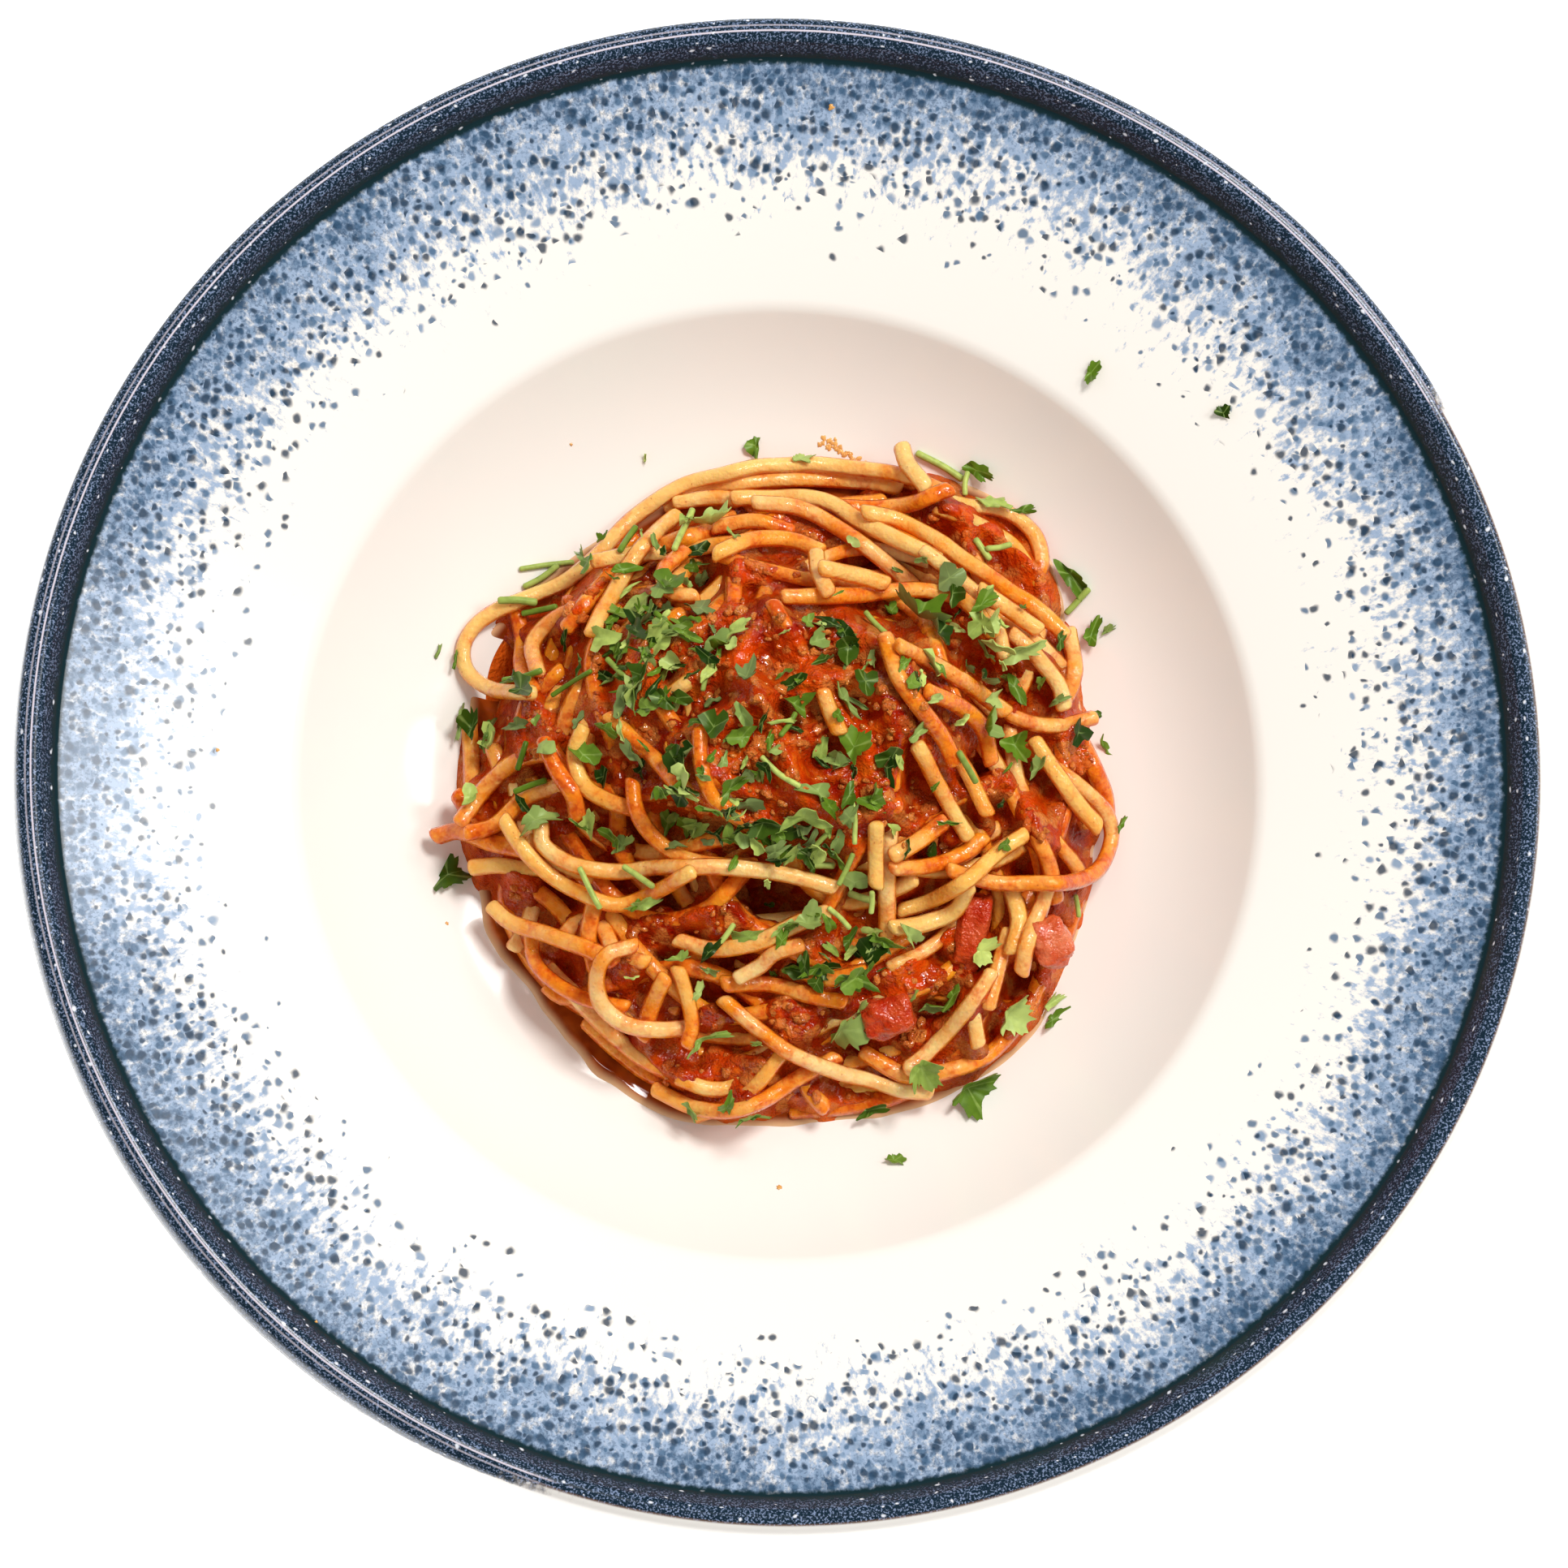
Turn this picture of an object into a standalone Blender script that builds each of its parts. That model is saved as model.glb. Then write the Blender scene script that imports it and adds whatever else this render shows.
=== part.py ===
"""Spaghetti bolognese on its wide-rimmed pasta plate.

The plate is a turned stoneware piece: a foot ring, a deep round well, a sloping flange and a
raised, rounded lip. In the well lie a shallow pool of sauce, the two-tiered heap of spaghetti on
it, the meat sauce ladled on top, and three chunks of tomato set into the heap's near side.

Sizes below are in millimetres and are turned into metres where a mesh is made. +Z is up, +Y
points to the far side of the plate, and the origin is the centre of the foot ring's underside.
"""

import math

import bmesh
import bpy
import numpy as np

MM = 0.001

# Plate
RIM_RADIUS = 135.0  # the plate's outermost radius, on the outer side of the lip
RIM_Z = 40.5
CREST_RADIUS = 131.9
CREST_Z = 47.0
LIP_ROUND = 2.6  # radius of the rounded top of the lip
LIP_ANGLE = math.radians(58.0)  # how steeply the lip rises out of the flange
LIP_FALL = math.radians(-62.0)  # where the rounded top ends on the outer side
FLANGE_ANGLE = math.radians(20.5)
VALLEY_ROUND = 2.0  # radius of the hollow where flange and lip meet
WELL_FLOOR_RADIUS = 48.0
WELL_FLOOR_Z = 7.0
WELL_WALL_RADIUS = 84.8  # where the wall ends and the fold to the flange begins
WELL_DEPTH = 18.5
WELL_POWER = 2.4  # how suddenly the floor turns up into the wall
FOLD_ROUND = 6.0
WALL_THICKNESS = 4.6
FOOT_OUTER = 56.5
FOOT_INNER = 51.5
FOOT_EDGE = 0.6  # width and height of the foot ring's bevels
PLATE_STEPS = 48

# Sauce pool
POOL_LEVEL = WELL_FLOOR_Z + 2.6
POOL_FILM = 0.8  # thickness where the pool climbs the well's wall
POOL_BEND = 1.2
POOL_RINGS = 9
POOL_STEPS = 40
TOUCH_GAP = 0.4  # clearance over the well

# Spaghetti heap
HEAP_CENTRE = (2.4, 0.5)
HEAP_RADIUS = 61.2
HEAP_EDGE = 3.0  # height of the heap's outermost strand
HEAP_GAP = 0.7  # clearance over the pool
LOWER_TIER = 22.0
UPPER_TIER = 16.0
UPPER_CENTRE = (0.0, 10.0)
UPPER_HALF_WIDTH = 41.0
UPPER_HALF_DEPTH = 33.0
RIDGE_HEIGHT = 1.2
HEAP_STEPS = 54
HEAP_RINGS = 13

# Meat sauce
SAUCE_CENTRE = (7.0, 7.0)
SAUCE_RADIUS = 24.0
SAUCE_THICKNESS = 4.5
SAUCE_EDGE = 0.9
SAUCE_GAP = 0.9  # clearance over the heap's ridges
SAUCE_RINGS = 6

# Tomato chunks: centre x and y, the three half sizes, and the turn about Z in degrees
TOMATO_CHUNKS = (
    (19.5, -43.0, (5.6, 4.4, 3.6), 20.0),
    (35.0, -29.0, (3.6, 6.2, 3.4), -15.0),
    (46.5, -31.0, (4.0, 4.6, 3.4), 35.0),
)
CHUNK_SUNK = 0.3  # how far a chunk's centre lies below the heap's surface
POCKET_CLEARANCE = 0.35

COLOURS = {
    "glazed_stoneware": ((0.90, 0.86, 0.80), 0.15),
    "pool_sauce": ((0.42, 0.10, 0.02), 0.20),
    "spaghetti": ((0.85, 0.45, 0.15), 0.40),
    "meat_sauce": ((0.55, 0.10, 0.02), 0.35),
    "tomato": ((0.62, 0.06, 0.03), 0.25),
}


def clear_scene():
    """Remove every object the scene starts with."""
    for obj in list(bpy.data.objects):
        bpy.data.objects.remove(obj)


def material(name):
    """A Principled material with the named colour and roughness."""
    colour, roughness = COLOURS[name]
    made = bpy.data.materials.new(name)
    made.use_nodes = True
    shader = made.node_tree.nodes["Principled BSDF"]
    shader.inputs["Base Color"].default_value = (*colour, 1.0)
    shader.inputs["Roughness"].default_value = roughness
    shader.inputs["Metallic"].default_value = 0.0
    return made


def add_object(name, bm, surface):
    """Turn a bmesh in millimetres into a named object in metres."""
    bmesh.ops.scale(bm, vec=(MM, MM, MM), verts=bm.verts)
    bmesh.ops.recalc_face_normals(bm, faces=bm.faces)
    mesh = bpy.data.meshes.new(name)
    bm.to_mesh(mesh)
    bm.free()
    mesh.shade_smooth()
    mesh.set_sharp_from_angle(angle=math.radians(50.0))
    obj = bpy.data.objects.new(name, mesh)
    obj.data.materials.append(surface)
    bpy.context.scene.collection.objects.link(obj)
    return obj


def arc(start, heading, turn_to, radius, count):
    """Points on an arc that leaves start at one heading and ends at another, without the start.

    Headings are angles above the outward direction; the arc bends down when they fall.
    """
    side = 1.0 if turn_to < heading else -1.0
    centre_r = start[0] + side * radius * math.sin(heading)
    centre_z = start[1] - side * radius * math.cos(heading)
    angles = np.linspace(heading, turn_to, count + 1)[1:]
    return [
        (centre_r - side * radius * math.sin(a), centre_z + side * radius * math.cos(a))
        for a in angles
    ]


def well_height(r):
    """Height of the well's floor and wall at a distance from the plate's axis."""
    share = np.clip((r - WELL_FLOOR_RADIUS) / (WELL_WALL_RADIUS - WELL_FLOOR_RADIUS), 0.0, 1.0)
    return WELL_FLOOR_Z + WELL_DEPTH * share**WELL_POWER


def plate_top():
    """The plate's upper outline, from the axis over the lip to its outermost edge."""
    wall_span = WELL_WALL_RADIUS - WELL_FLOOR_RADIUS
    points = [(0.0, WELL_FLOOR_Z), (WELL_FLOOR_RADIUS * 0.6, WELL_FLOOR_Z)]
    for r in np.linspace(WELL_FLOOR_RADIUS, WELL_WALL_RADIUS, 9):
        points.append((r, float(well_height(r))))
    wall_angle = math.atan(WELL_DEPTH * WELL_POWER / wall_span)
    points += arc(points[-1], wall_angle, FLANGE_ANGLE, FOLD_ROUND, 4)

    lip_start = (
        CREST_RADIUS - LIP_ROUND * math.sin(LIP_ANGLE),
        CREST_Z - LIP_ROUND * (1.0 - math.cos(LIP_ANGLE)),
    )
    # The flange is a straight line from the fold and the lip's inner side a straight line into
    # the crest: the valley's arc joins them where both slopes hold.
    fold_r, fold_z = points[-1]
    valley_run = VALLEY_ROUND * (math.sin(LIP_ANGLE) - math.sin(FLANGE_ANGLE))
    valley_rise = VALLEY_ROUND * (math.cos(FLANGE_ANGLE) - math.cos(LIP_ANGLE))
    run = lip_start[0] - valley_run - fold_r
    rise = lip_start[1] - valley_rise - fold_z
    flange_slope = math.tan(FLANGE_ANGLE)
    lip_run = (rise - flange_slope * run) / (math.tan(LIP_ANGLE) - flange_slope)
    for share in (0.5, 1.0):
        along = share * (run - lip_run)
        points.append((fold_r + along, fold_z + flange_slope * along))
    points += arc(points[-1], FLANGE_ANGLE, LIP_ANGLE, VALLEY_ROUND, 3)
    points.append(lip_start)
    points += arc(lip_start, LIP_ANGLE, LIP_FALL, LIP_ROUND, 7)
    points.append((RIM_RADIUS, RIM_Z))
    return points


def offset_below(points, distance):
    """The same curve moved square to itself, down and outwards, by a distance."""
    moved = []
    for before, after in zip(points[:-1], points[1:]):
        run_r, run_z = after[0] - before[0], after[1] - before[1]
        length = math.hypot(run_r, run_z)
        middle = ((before[0] + after[0]) / 2, (before[1] + after[1]) / 2)
        moved.append((middle[0] + distance * run_z / length, middle[1] - distance * run_r / length))
    return moved


def plate_outline():
    """The whole cross-section from the axis, over the lip and back to the axis underneath."""
    top = plate_top()
    wall = [p for p in top if FOOT_OUTER + 3.0 < p[0] < CREST_RADIUS - LIP_ROUND]
    under = offset_below(wall, WALL_THICKNESS)
    foot_top = float(well_height(FOOT_OUTER)) - WALL_THICKNESS
    recess_z = WELL_FLOOR_Z - WALL_THICKNESS
    underside = [(RIM_RADIUS - 0.7, RIM_Z - 1.5), *reversed(under)]
    underside += [
        (FOOT_OUTER + FOOT_EDGE, foot_top),
        (FOOT_OUTER, FOOT_EDGE),
        (FOOT_OUTER - FOOT_EDGE, 0.0),
        (FOOT_INNER + FOOT_EDGE, 0.0),
        (FOOT_INNER, FOOT_EDGE),
        (FOOT_INNER - FOOT_EDGE, recess_z),
        (0.0, recess_z),
    ]
    return top + underside


def make_plate(surface):
    """Turn the plate's cross-section about the Z axis."""
    bm = bmesh.new()
    verts = [bm.verts.new((r, 0.0, z)) for r, z in plate_outline()]
    edges = [bm.edges.new(pair) for pair in zip(verts[:-1], verts[1:])]
    bmesh.ops.spin(
        bm,
        geom=verts + edges,
        cent=(0.0, 0.0, 0.0),
        axis=(0.0, 0.0, 1.0),
        angle=2.0 * math.pi,
        steps=PLATE_STEPS,
        use_merge=True,
    )
    bmesh.ops.remove_doubles(bm, verts=bm.verts, dist=0.001)
    return add_object("plate", bm, surface)


def heap_outline(angles):
    """The heap's uneven outline seen from above, as x and y for each angle."""
    radius = (
        HEAP_RADIUS
        + 0.9 * np.cos(2.0 * angles - 2.7)
        + 2.6 * np.cos(3.0 * angles - 2.8)
        + 1.4 * np.cos(4.0 * angles + 2.3)
        + 0.9 * np.cos(7.0 * angles + 0.4)
    )
    return (
        HEAP_CENTRE[0] + radius * np.cos(angles),
        HEAP_CENTRE[1] + radius * np.sin(angles),
    )


def heap_height(x, y):
    """Height of the heap's top: a broad lower tier, a smaller one twirled on it, and ridges."""
    angles = np.arctan2(y - HEAP_CENTRE[1], x - HEAP_CENTRE[0])
    edge_x, edge_y = heap_outline(angles)
    reach = np.hypot(edge_x - HEAP_CENTRE[0], edge_y - HEAP_CENTRE[1])
    out = np.clip(np.hypot(x - HEAP_CENTRE[0], y - HEAP_CENTRE[1]) / reach, 0.0, 1.0)
    across = (x - UPPER_CENTRE[0]) / UPPER_HALF_WIDTH
    along = (y - UPPER_CENTRE[1]) / UPPER_HALF_DEPTH
    upper = np.clip(1.0 - np.hypot(across, along) ** 2.6, 0.0, None) ** 1.5
    lower = (1.0 - out**2.6) ** 0.8
    ridges = np.sin(6.0 * angles + 9.0 * out) * 4.0 * out**2 * (1.0 - out)
    rise = LOWER_TIER * lower + UPPER_TIER * upper + RIDGE_HEIGHT * ridges
    return heap_floor(x, y) + HEAP_EDGE + rise


def pool_height(x, y):
    """Top of the sauce pool: level in the middle, a thin film where the well's wall climbs.

    The two meet in a soft bend, the higher of them rounded by POOL_BEND.
    """
    film = well_height(np.hypot(x, y)) + TOUCH_GAP + POOL_FILM
    return (POOL_LEVEL + film + np.hypot(POOL_LEVEL - film, POOL_BEND)) / 2.0


def heap_floor(x, y):
    """Underside of the heap, just clear of the pool."""
    return pool_height(x, y) + HEAP_GAP


def slab(name, centre, outline_x, outline_y, rings, top, bottom, surface):
    """A closed solid between two height functions, on rings scaled from a centre to an outline.

    Every quad is cut into triangles here, so that pieces made on alike rings stay alike.
    """
    bm = bmesh.new()
    steps = len(outline_x)
    layers = []
    for height in (top, bottom):
        shares = np.linspace(0.0, 1.0, rings + 1)[1:]
        x = centre[0] + shares[:, None] * (outline_x - centre[0])
        y = centre[1] + shares[:, None] * (outline_y - centre[1])
        z = height(x, y)
        middle = bm.verts.new((*centre, float(height(np.array(centre[0]), np.array(centre[1])))))
        loops = [
            [bm.verts.new((x[k, i], y[k, i], z[k, i])) for i in range(steps)] for k in range(rings)
        ]
        layers.append((middle, loops))
    for middle, loops in layers:
        for i in range(steps):
            j = (i + 1) % steps
            bm.faces.new((middle, loops[0][i], loops[0][j]))
            for inner, outer in zip(loops[:-1], loops[1:]):
                bm.faces.new((inner[i], outer[i], outer[j]))
                bm.faces.new((inner[i], outer[j], inner[j]))
    upper_edge, lower_edge = layers[0][1][-1], layers[1][1][-1]
    for i in range(steps):
        j = (i + 1) % steps
        bm.faces.new((upper_edge[i], lower_edge[i], lower_edge[j]))
        bm.faces.new((upper_edge[i], lower_edge[j], upper_edge[j]))
    return add_object(name, bm, surface)


def make_pool(surface):
    """The thin red pool that has run out from under the heap, with an uneven shore."""
    angles = np.linspace(0.0, 2.0 * math.pi, POOL_STEPS, endpoint=False)
    x, y = heap_outline(angles)
    spread = 1.02 + 0.02 * np.cos(angles + 2.2) + 0.01 * np.cos(5.0 * angles + 0.5)
    x = HEAP_CENTRE[0] + (x - HEAP_CENTRE[0]) * spread
    y = HEAP_CENTRE[1] + (y - HEAP_CENTRE[1]) * spread
    return slab(
        "sauce_pool",
        HEAP_CENTRE,
        x,
        y,
        POOL_RINGS,
        pool_height,
        lambda px, py: well_height(np.hypot(px, py)) + TOUCH_GAP,
        surface,
    )


def make_heap(surface):
    """The two-tiered heap of spaghetti out to its uneven outline."""
    angles = np.linspace(0.0, 2.0 * math.pi, HEAP_STEPS, endpoint=False)
    x, y = heap_outline(angles)
    return slab(
        "spaghetti_heap", UPPER_CENTRE, x, y, HEAP_RINGS, heap_height, heap_floor, surface
    )


def make_meat_sauce(surface):
    """The meat sauce on top of the heap, thick in the middle and thin along a lobed edge."""
    angles = np.linspace(0.0, 2.0 * math.pi, HEAP_STEPS, endpoint=False)
    radius = SAUCE_RADIUS + 1.8 * np.cos(3.0 * angles + 0.4) + 1.3 * np.cos(5.0 * angles)
    x = SAUCE_CENTRE[0] + radius * np.cos(angles)
    y = SAUCE_CENTRE[1] + radius * np.sin(angles)

    def underside(px, py):
        return heap_height(px, py) + SAUCE_GAP

    def top(px, py):
        out = np.hypot(px - SAUCE_CENTRE[0], py - SAUCE_CENTRE[1]) / (1.15 * SAUCE_RADIUS)
        crown = np.clip(1.0 - out**2, 0.0, 1.0) ** 0.7
        lumps = 0.5 * np.sin(px / 3.1) * np.cos(py / 3.7)
        return underside(px, py) + SAUCE_EDGE + crown * (SAUCE_THICKNESS - SAUCE_EDGE + lumps)

    return slab("meat_sauce", UPPER_CENTRE, x, y, SAUCE_RINGS, top, underside, surface)


def chunk_mesh(halves, grown):
    """A soft-cornered block of the given half sizes, grown all round by a clearance."""
    bm = bmesh.new()
    bmesh.ops.create_cube(bm, size=2.0)
    bmesh.ops.scale(bm, vec=[h + grown for h in halves], verts=bm.verts)
    bmesh.ops.bevel(
        bm,
        geom=bm.verts[:] + bm.edges[:],
        offset=1.5 + grown,
        segments=2,
        profile=0.6,
        affect="EDGES",
    )
    return bm


def make_chunks(heap, surface):
    """The tomato chunks, each in a pocket that a Boolean cuts out of the heap."""
    for number, (x, y, halves, turn) in enumerate(TOMATO_CHUNKS, start=1):
        z = float(heap_height(np.array(x), np.array(y))) - CHUNK_SUNK
        chunk = add_object(f"tomato_chunk_{number}", chunk_mesh(halves, 0.0), surface)
        pocket = add_object(f"tomato_pocket_{number}", chunk_mesh(halves, POCKET_CLEARANCE), surface)
        for obj in (chunk, pocket):
            obj.location = (x * MM, y * MM, z * MM)
            obj.rotation_euler = (math.radians(18.0), math.radians(14.0), math.radians(turn))
        pocket.hide_render = True
        pocket.display_type = "WIRE"
        cut = heap.modifiers.new(f"pocket_{number}", "BOOLEAN")
        cut.operation = "DIFFERENCE"
        cut.solver = "EXACT"
        cut.object = pocket


def main():
    """Build the plate and everything on it."""
    clear_scene()
    make_plate(material("glazed_stoneware"))
    make_pool(material("pool_sauce"))
    heap = make_heap(material("spaghetti"))
    make_meat_sauce(material("meat_sauce"))
    make_chunks(heap, material("tomato"))


main()
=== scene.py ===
"""The looks of a plate of spaghetti bolognese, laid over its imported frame.

Sizes in this script are in millimetres and become metres where a mesh is made. +Z is up, +Y points
away from the diner, and the origin is the centre of the plate's foot ring. The food is laid as it
is on a real plate: the loose strands first, each resting on what already lies there, then the meat
sauce, the strands that show on top, the tomato chunks and the chopped parsley.
"""

import logging
import math
from collections.abc import Sequence
from dataclasses import dataclass, field
from enum import Enum

import bpy
import numpy as np
from mathutils import Matrix, Vector

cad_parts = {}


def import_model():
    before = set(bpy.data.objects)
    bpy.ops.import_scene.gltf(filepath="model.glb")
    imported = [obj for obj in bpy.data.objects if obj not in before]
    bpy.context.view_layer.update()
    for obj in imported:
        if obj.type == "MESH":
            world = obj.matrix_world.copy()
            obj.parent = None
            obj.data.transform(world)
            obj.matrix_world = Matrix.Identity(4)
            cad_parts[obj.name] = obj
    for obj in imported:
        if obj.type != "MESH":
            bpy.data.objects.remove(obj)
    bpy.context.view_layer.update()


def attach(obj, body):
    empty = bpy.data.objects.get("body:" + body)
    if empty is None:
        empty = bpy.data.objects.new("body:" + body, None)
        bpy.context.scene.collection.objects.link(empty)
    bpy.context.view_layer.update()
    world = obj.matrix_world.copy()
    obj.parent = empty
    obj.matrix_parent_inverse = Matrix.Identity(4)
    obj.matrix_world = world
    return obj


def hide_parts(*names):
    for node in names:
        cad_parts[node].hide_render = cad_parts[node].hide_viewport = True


Array = np.ndarray
Socket = bpy.types.NodeSocket

MM = 0.001
SEED = 11
log = logging.getLogger("spaghetti")


# ---------------------------------------------------------------------------------------------
# Small numeric tools
# ---------------------------------------------------------------------------------------------


def seeded(name: str) -> np.random.Generator:
    """A generator of its own for each kind of piece, so one can change without the others."""
    return np.random.default_rng([SEED, *name.encode()])


def ease(low: float, high: float, value: Array) -> Array:
    """Smooth step: 0 below low, 1 above high, 3t² - 2t³ between them."""
    share = np.clip((value - low) / (high - low), 0.0, 1.0)
    return share * share * (3.0 - 2.0 * share)


def cell_random(i: Array, j: Array, seed: int, channel: int) -> Array:
    """A fixed random number from 0 to 1 for each cell (i, j): the fraction of a large sine."""
    mixed = np.sin(i * 127.1 + j * 311.7 + seed * 74.7 + channel * 53.3) * 43758.5453
    return mixed - np.floor(mixed)


def soft_noise(x: Array, y: Array, cell: float, seed: int) -> Array:
    """Value noise from -1 to 1: random corners of square cells, blended by smooth steps."""
    gx, gy = x / cell, y / cell
    i, j = np.floor(gx), np.floor(gy)
    u, v = ease(0.0, 1.0, gx - i), ease(0.0, 1.0, gy - j)
    low = cell_random(i, j, seed, 0) * (1 - u) + cell_random(i + 1, j, seed, 0) * u
    high = cell_random(i, j + 1, seed, 0) * (1 - u) + cell_random(i + 1, j + 1, seed, 0) * u
    return (low * (1 - v) + high * v) * 2.0 - 1.0


def domes(x: Array, y: Array, cell: float, seed: int) -> tuple[Array, Array]:
    """Scattered round lumps, one to a cell.

    Each lump is sqrt(1 - (d / r)²) high at a distance d from its centre, and where lumps meet the
    higher one shows.

    Args:
        x: Positions across.
        y: Positions along.
        cell: Size of the square that holds one lump.
        seed: Which layout.

    Returns:
        The height of the lumps from 0 to 1, and a random number that is the same all over a lump.
    """
    i, j = np.floor(x / cell), np.floor(y / cell)
    height, kind = np.zeros_like(x), np.zeros_like(x)
    for di in (-1, 0, 1):
        for dj in (-1, 0, 1):
            ci, cj = i + di, j + dj
            px = (ci + 0.15 + 0.7 * cell_random(ci, cj, seed, 1)) * cell
            py = (cj + 0.15 + 0.7 * cell_random(ci, cj, seed, 2)) * cell
            radius = cell * (0.38 + 0.38 * cell_random(ci, cj, seed, 3))
            near = 1.0 - ((x - px) ** 2 + (y - py) ** 2) / radius**2
            lump = np.sqrt(np.clip(near, 0.0, None)) * radius / (0.76 * cell)
            higher = lump > height
            height = np.where(higher, lump, height)
            kind = np.where(higher, cell_random(ci, cj, seed, 4), kind)
    return height, kind


def blurred(field_: Array, cells: float) -> Array:
    """A grid blurred by a Gaussian of the given width in cells, along one axis then the other."""
    reach = int(math.ceil(2.5 * cells))
    offsets = np.arange(-reach, reach + 1)
    weights = np.exp(-0.5 * (offsets / cells) ** 2)
    weights /= weights.sum()
    for axis in (0, 1):
        field_ = sum(w * np.roll(field_, int(o), axis) for w, o in zip(weights, offsets))
    return field_


def highest(grid: Array, cells: int) -> Array:
    """The highest value within a square of cells around each."""
    for axis in (0, 1):
        grid = np.maximum.reduce([np.roll(grid, k, axis) for k in range(-cells, cells + 1)])
    return grid


def through(points: Array, step: float) -> Array:
    """An even path through a few points: a Catmull-Rom curve, resampled at equal lengths.

    Args:
        points: The points that the path passes, one a row.
        step: Distance between the path's points.
    """
    padded = np.vstack([2 * points[0] - points[1], points, 2 * points[-1] - points[-2]])
    t = np.linspace(0.0, 1.0, 16, endpoint=False)[:, None]
    p0, p1, p2, p3 = (padded[k : len(padded) - 3 + k, None, :] for k in range(4))
    bends = 0.5 * (
        2 * p1
        + (p2 - p0) * t
        + (2 * p0 - 5 * p1 + 4 * p2 - p3) * t**2
        + (3 * p1 - p0 - 3 * p2 + p3) * t**3
    )
    fine = np.vstack([bends.reshape(-1, points.shape[1]), points[-1:]])
    along = np.concatenate([[0.0], np.cumsum(np.linalg.norm(np.diff(fine, axis=0), axis=1))])
    count = max(4, int(round(along[-1] / step)) + 1)
    even = np.linspace(0.0, along[-1], count)
    return np.stack([np.interp(even, along, column) for column in fine.T], axis=1)


# ---------------------------------------------------------------------------------------------
# Meshes
# ---------------------------------------------------------------------------------------------


def make_object(
    name: str,
    points: Array,
    faces: Sequence[Array],
    marks: dict[str, Array] | None = None,
    crease: float | None = None,
) -> bpy.types.Object:
    """A smooth mesh object from arrays.

    Args:
        name: The object's name.
        points: Positions in millimetres, one a row.
        faces: Arrays of vertex numbers, one face a row, each array of triangles or of quads.
        marks: Numbers kept at each point under a name, for the shaders.
        crease: The angle in degrees over which an edge stays sharp, if any does.

    Returns:
        The object, linked to the scene.
    """
    mesh = bpy.data.meshes.new(name)
    corners = np.concatenate([block.ravel() for block in faces]).astype(np.int32)
    sizes = np.concatenate([np.full(len(block), block.shape[1]) for block in faces])
    starts = np.concatenate([[0], np.cumsum(sizes)[:-1]]).astype(np.int32)
    mesh.vertices.add(len(points))
    mesh.vertices.foreach_set("co", (points * MM).astype(np.float32).ravel())
    mesh.loops.add(len(corners))
    mesh.loops.foreach_set("vertex_index", corners)
    mesh.polygons.add(len(sizes))
    mesh.polygons.foreach_set("loop_start", starts)
    mesh.update(calc_edges=True)
    mesh.shade_smooth()
    if crease is not None:
        mesh.set_sharp_from_angle(angle=math.radians(crease))
    for mark, values in (marks or {}).items():
        layer = mesh.attributes.new(mark, "FLOAT", "POINT")
        layer.data.foreach_set("value", values.astype(np.float32))
    mesh.validate()
    made = bpy.data.objects.new(name, mesh)
    bpy.context.scene.collection.objects.link(made)
    log.info("%s: %d faces", name, len(sizes))
    return made


def grid_quads(rows: int, columns: int, around: bool, first: int = 0) -> Array:
    """Faces of a grid of points stored row by row.

    Args:
        rows: Number of rows.
        columns: Number of points in a row.
        around: Whether each row closes on itself.
        first: Number of the grid's first point.
    """
    r, c = np.meshgrid(np.arange(rows - 1), np.arange(columns if around else columns - 1), indexing="ij")
    right = (c + 1) % columns
    quads = np.stack([r * columns + c, r * columns + right, (r + 1) * columns + right, (r + 1) * columns + c], -1)
    return quads.reshape(-1, 4) + first


def fan(centre: int, ring: Array, flipped: bool) -> Array:
    """Triangles from a centre point to each side of a closed ring of points."""
    following = np.roll(ring, -1)
    pair = (following, ring) if flipped else (ring, following)
    return np.stack([np.full(len(ring), centre), *pair], axis=1)


class MeshPile:
    """Many small closed shapes gathered into one mesh."""

    def __init__(self) -> None:
        self.points: list[Array] = []
        self.quads: list[Array] = []
        self.triangles: list[Array] = []
        self.marks: dict[str, list[Array]] = {}
        self.count = 0

    def add(self, points: Array, quads: Array, triangles: Array, **marks: Array) -> None:
        """Add one shape, with its own marks for each point."""
        self.points.append(points)
        self.quads.append(quads + self.count)
        self.triangles.append(triangles + self.count)
        for name, values in marks.items():
            self.marks.setdefault(name, []).append(np.broadcast_to(values, len(points)))
        self.count += len(points)

    def build(self, name: str, crease: float | None = None) -> bpy.types.Object:
        """The one object that holds every shape added."""
        return make_object(
            name,
            np.vstack(self.points),
            [np.vstack(self.quads), np.vstack(self.triangles)],
            {mark: np.concatenate(parts) for mark, parts in self.marks.items()},
            crease,
        )


# The rounding of a rod's ends: how far out each ring stands and how wide it is, both shares of the
# rod's radius, outermost first.
TIPS = np.array([[0.62, 0.46], [0.40, 0.84]])


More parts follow.
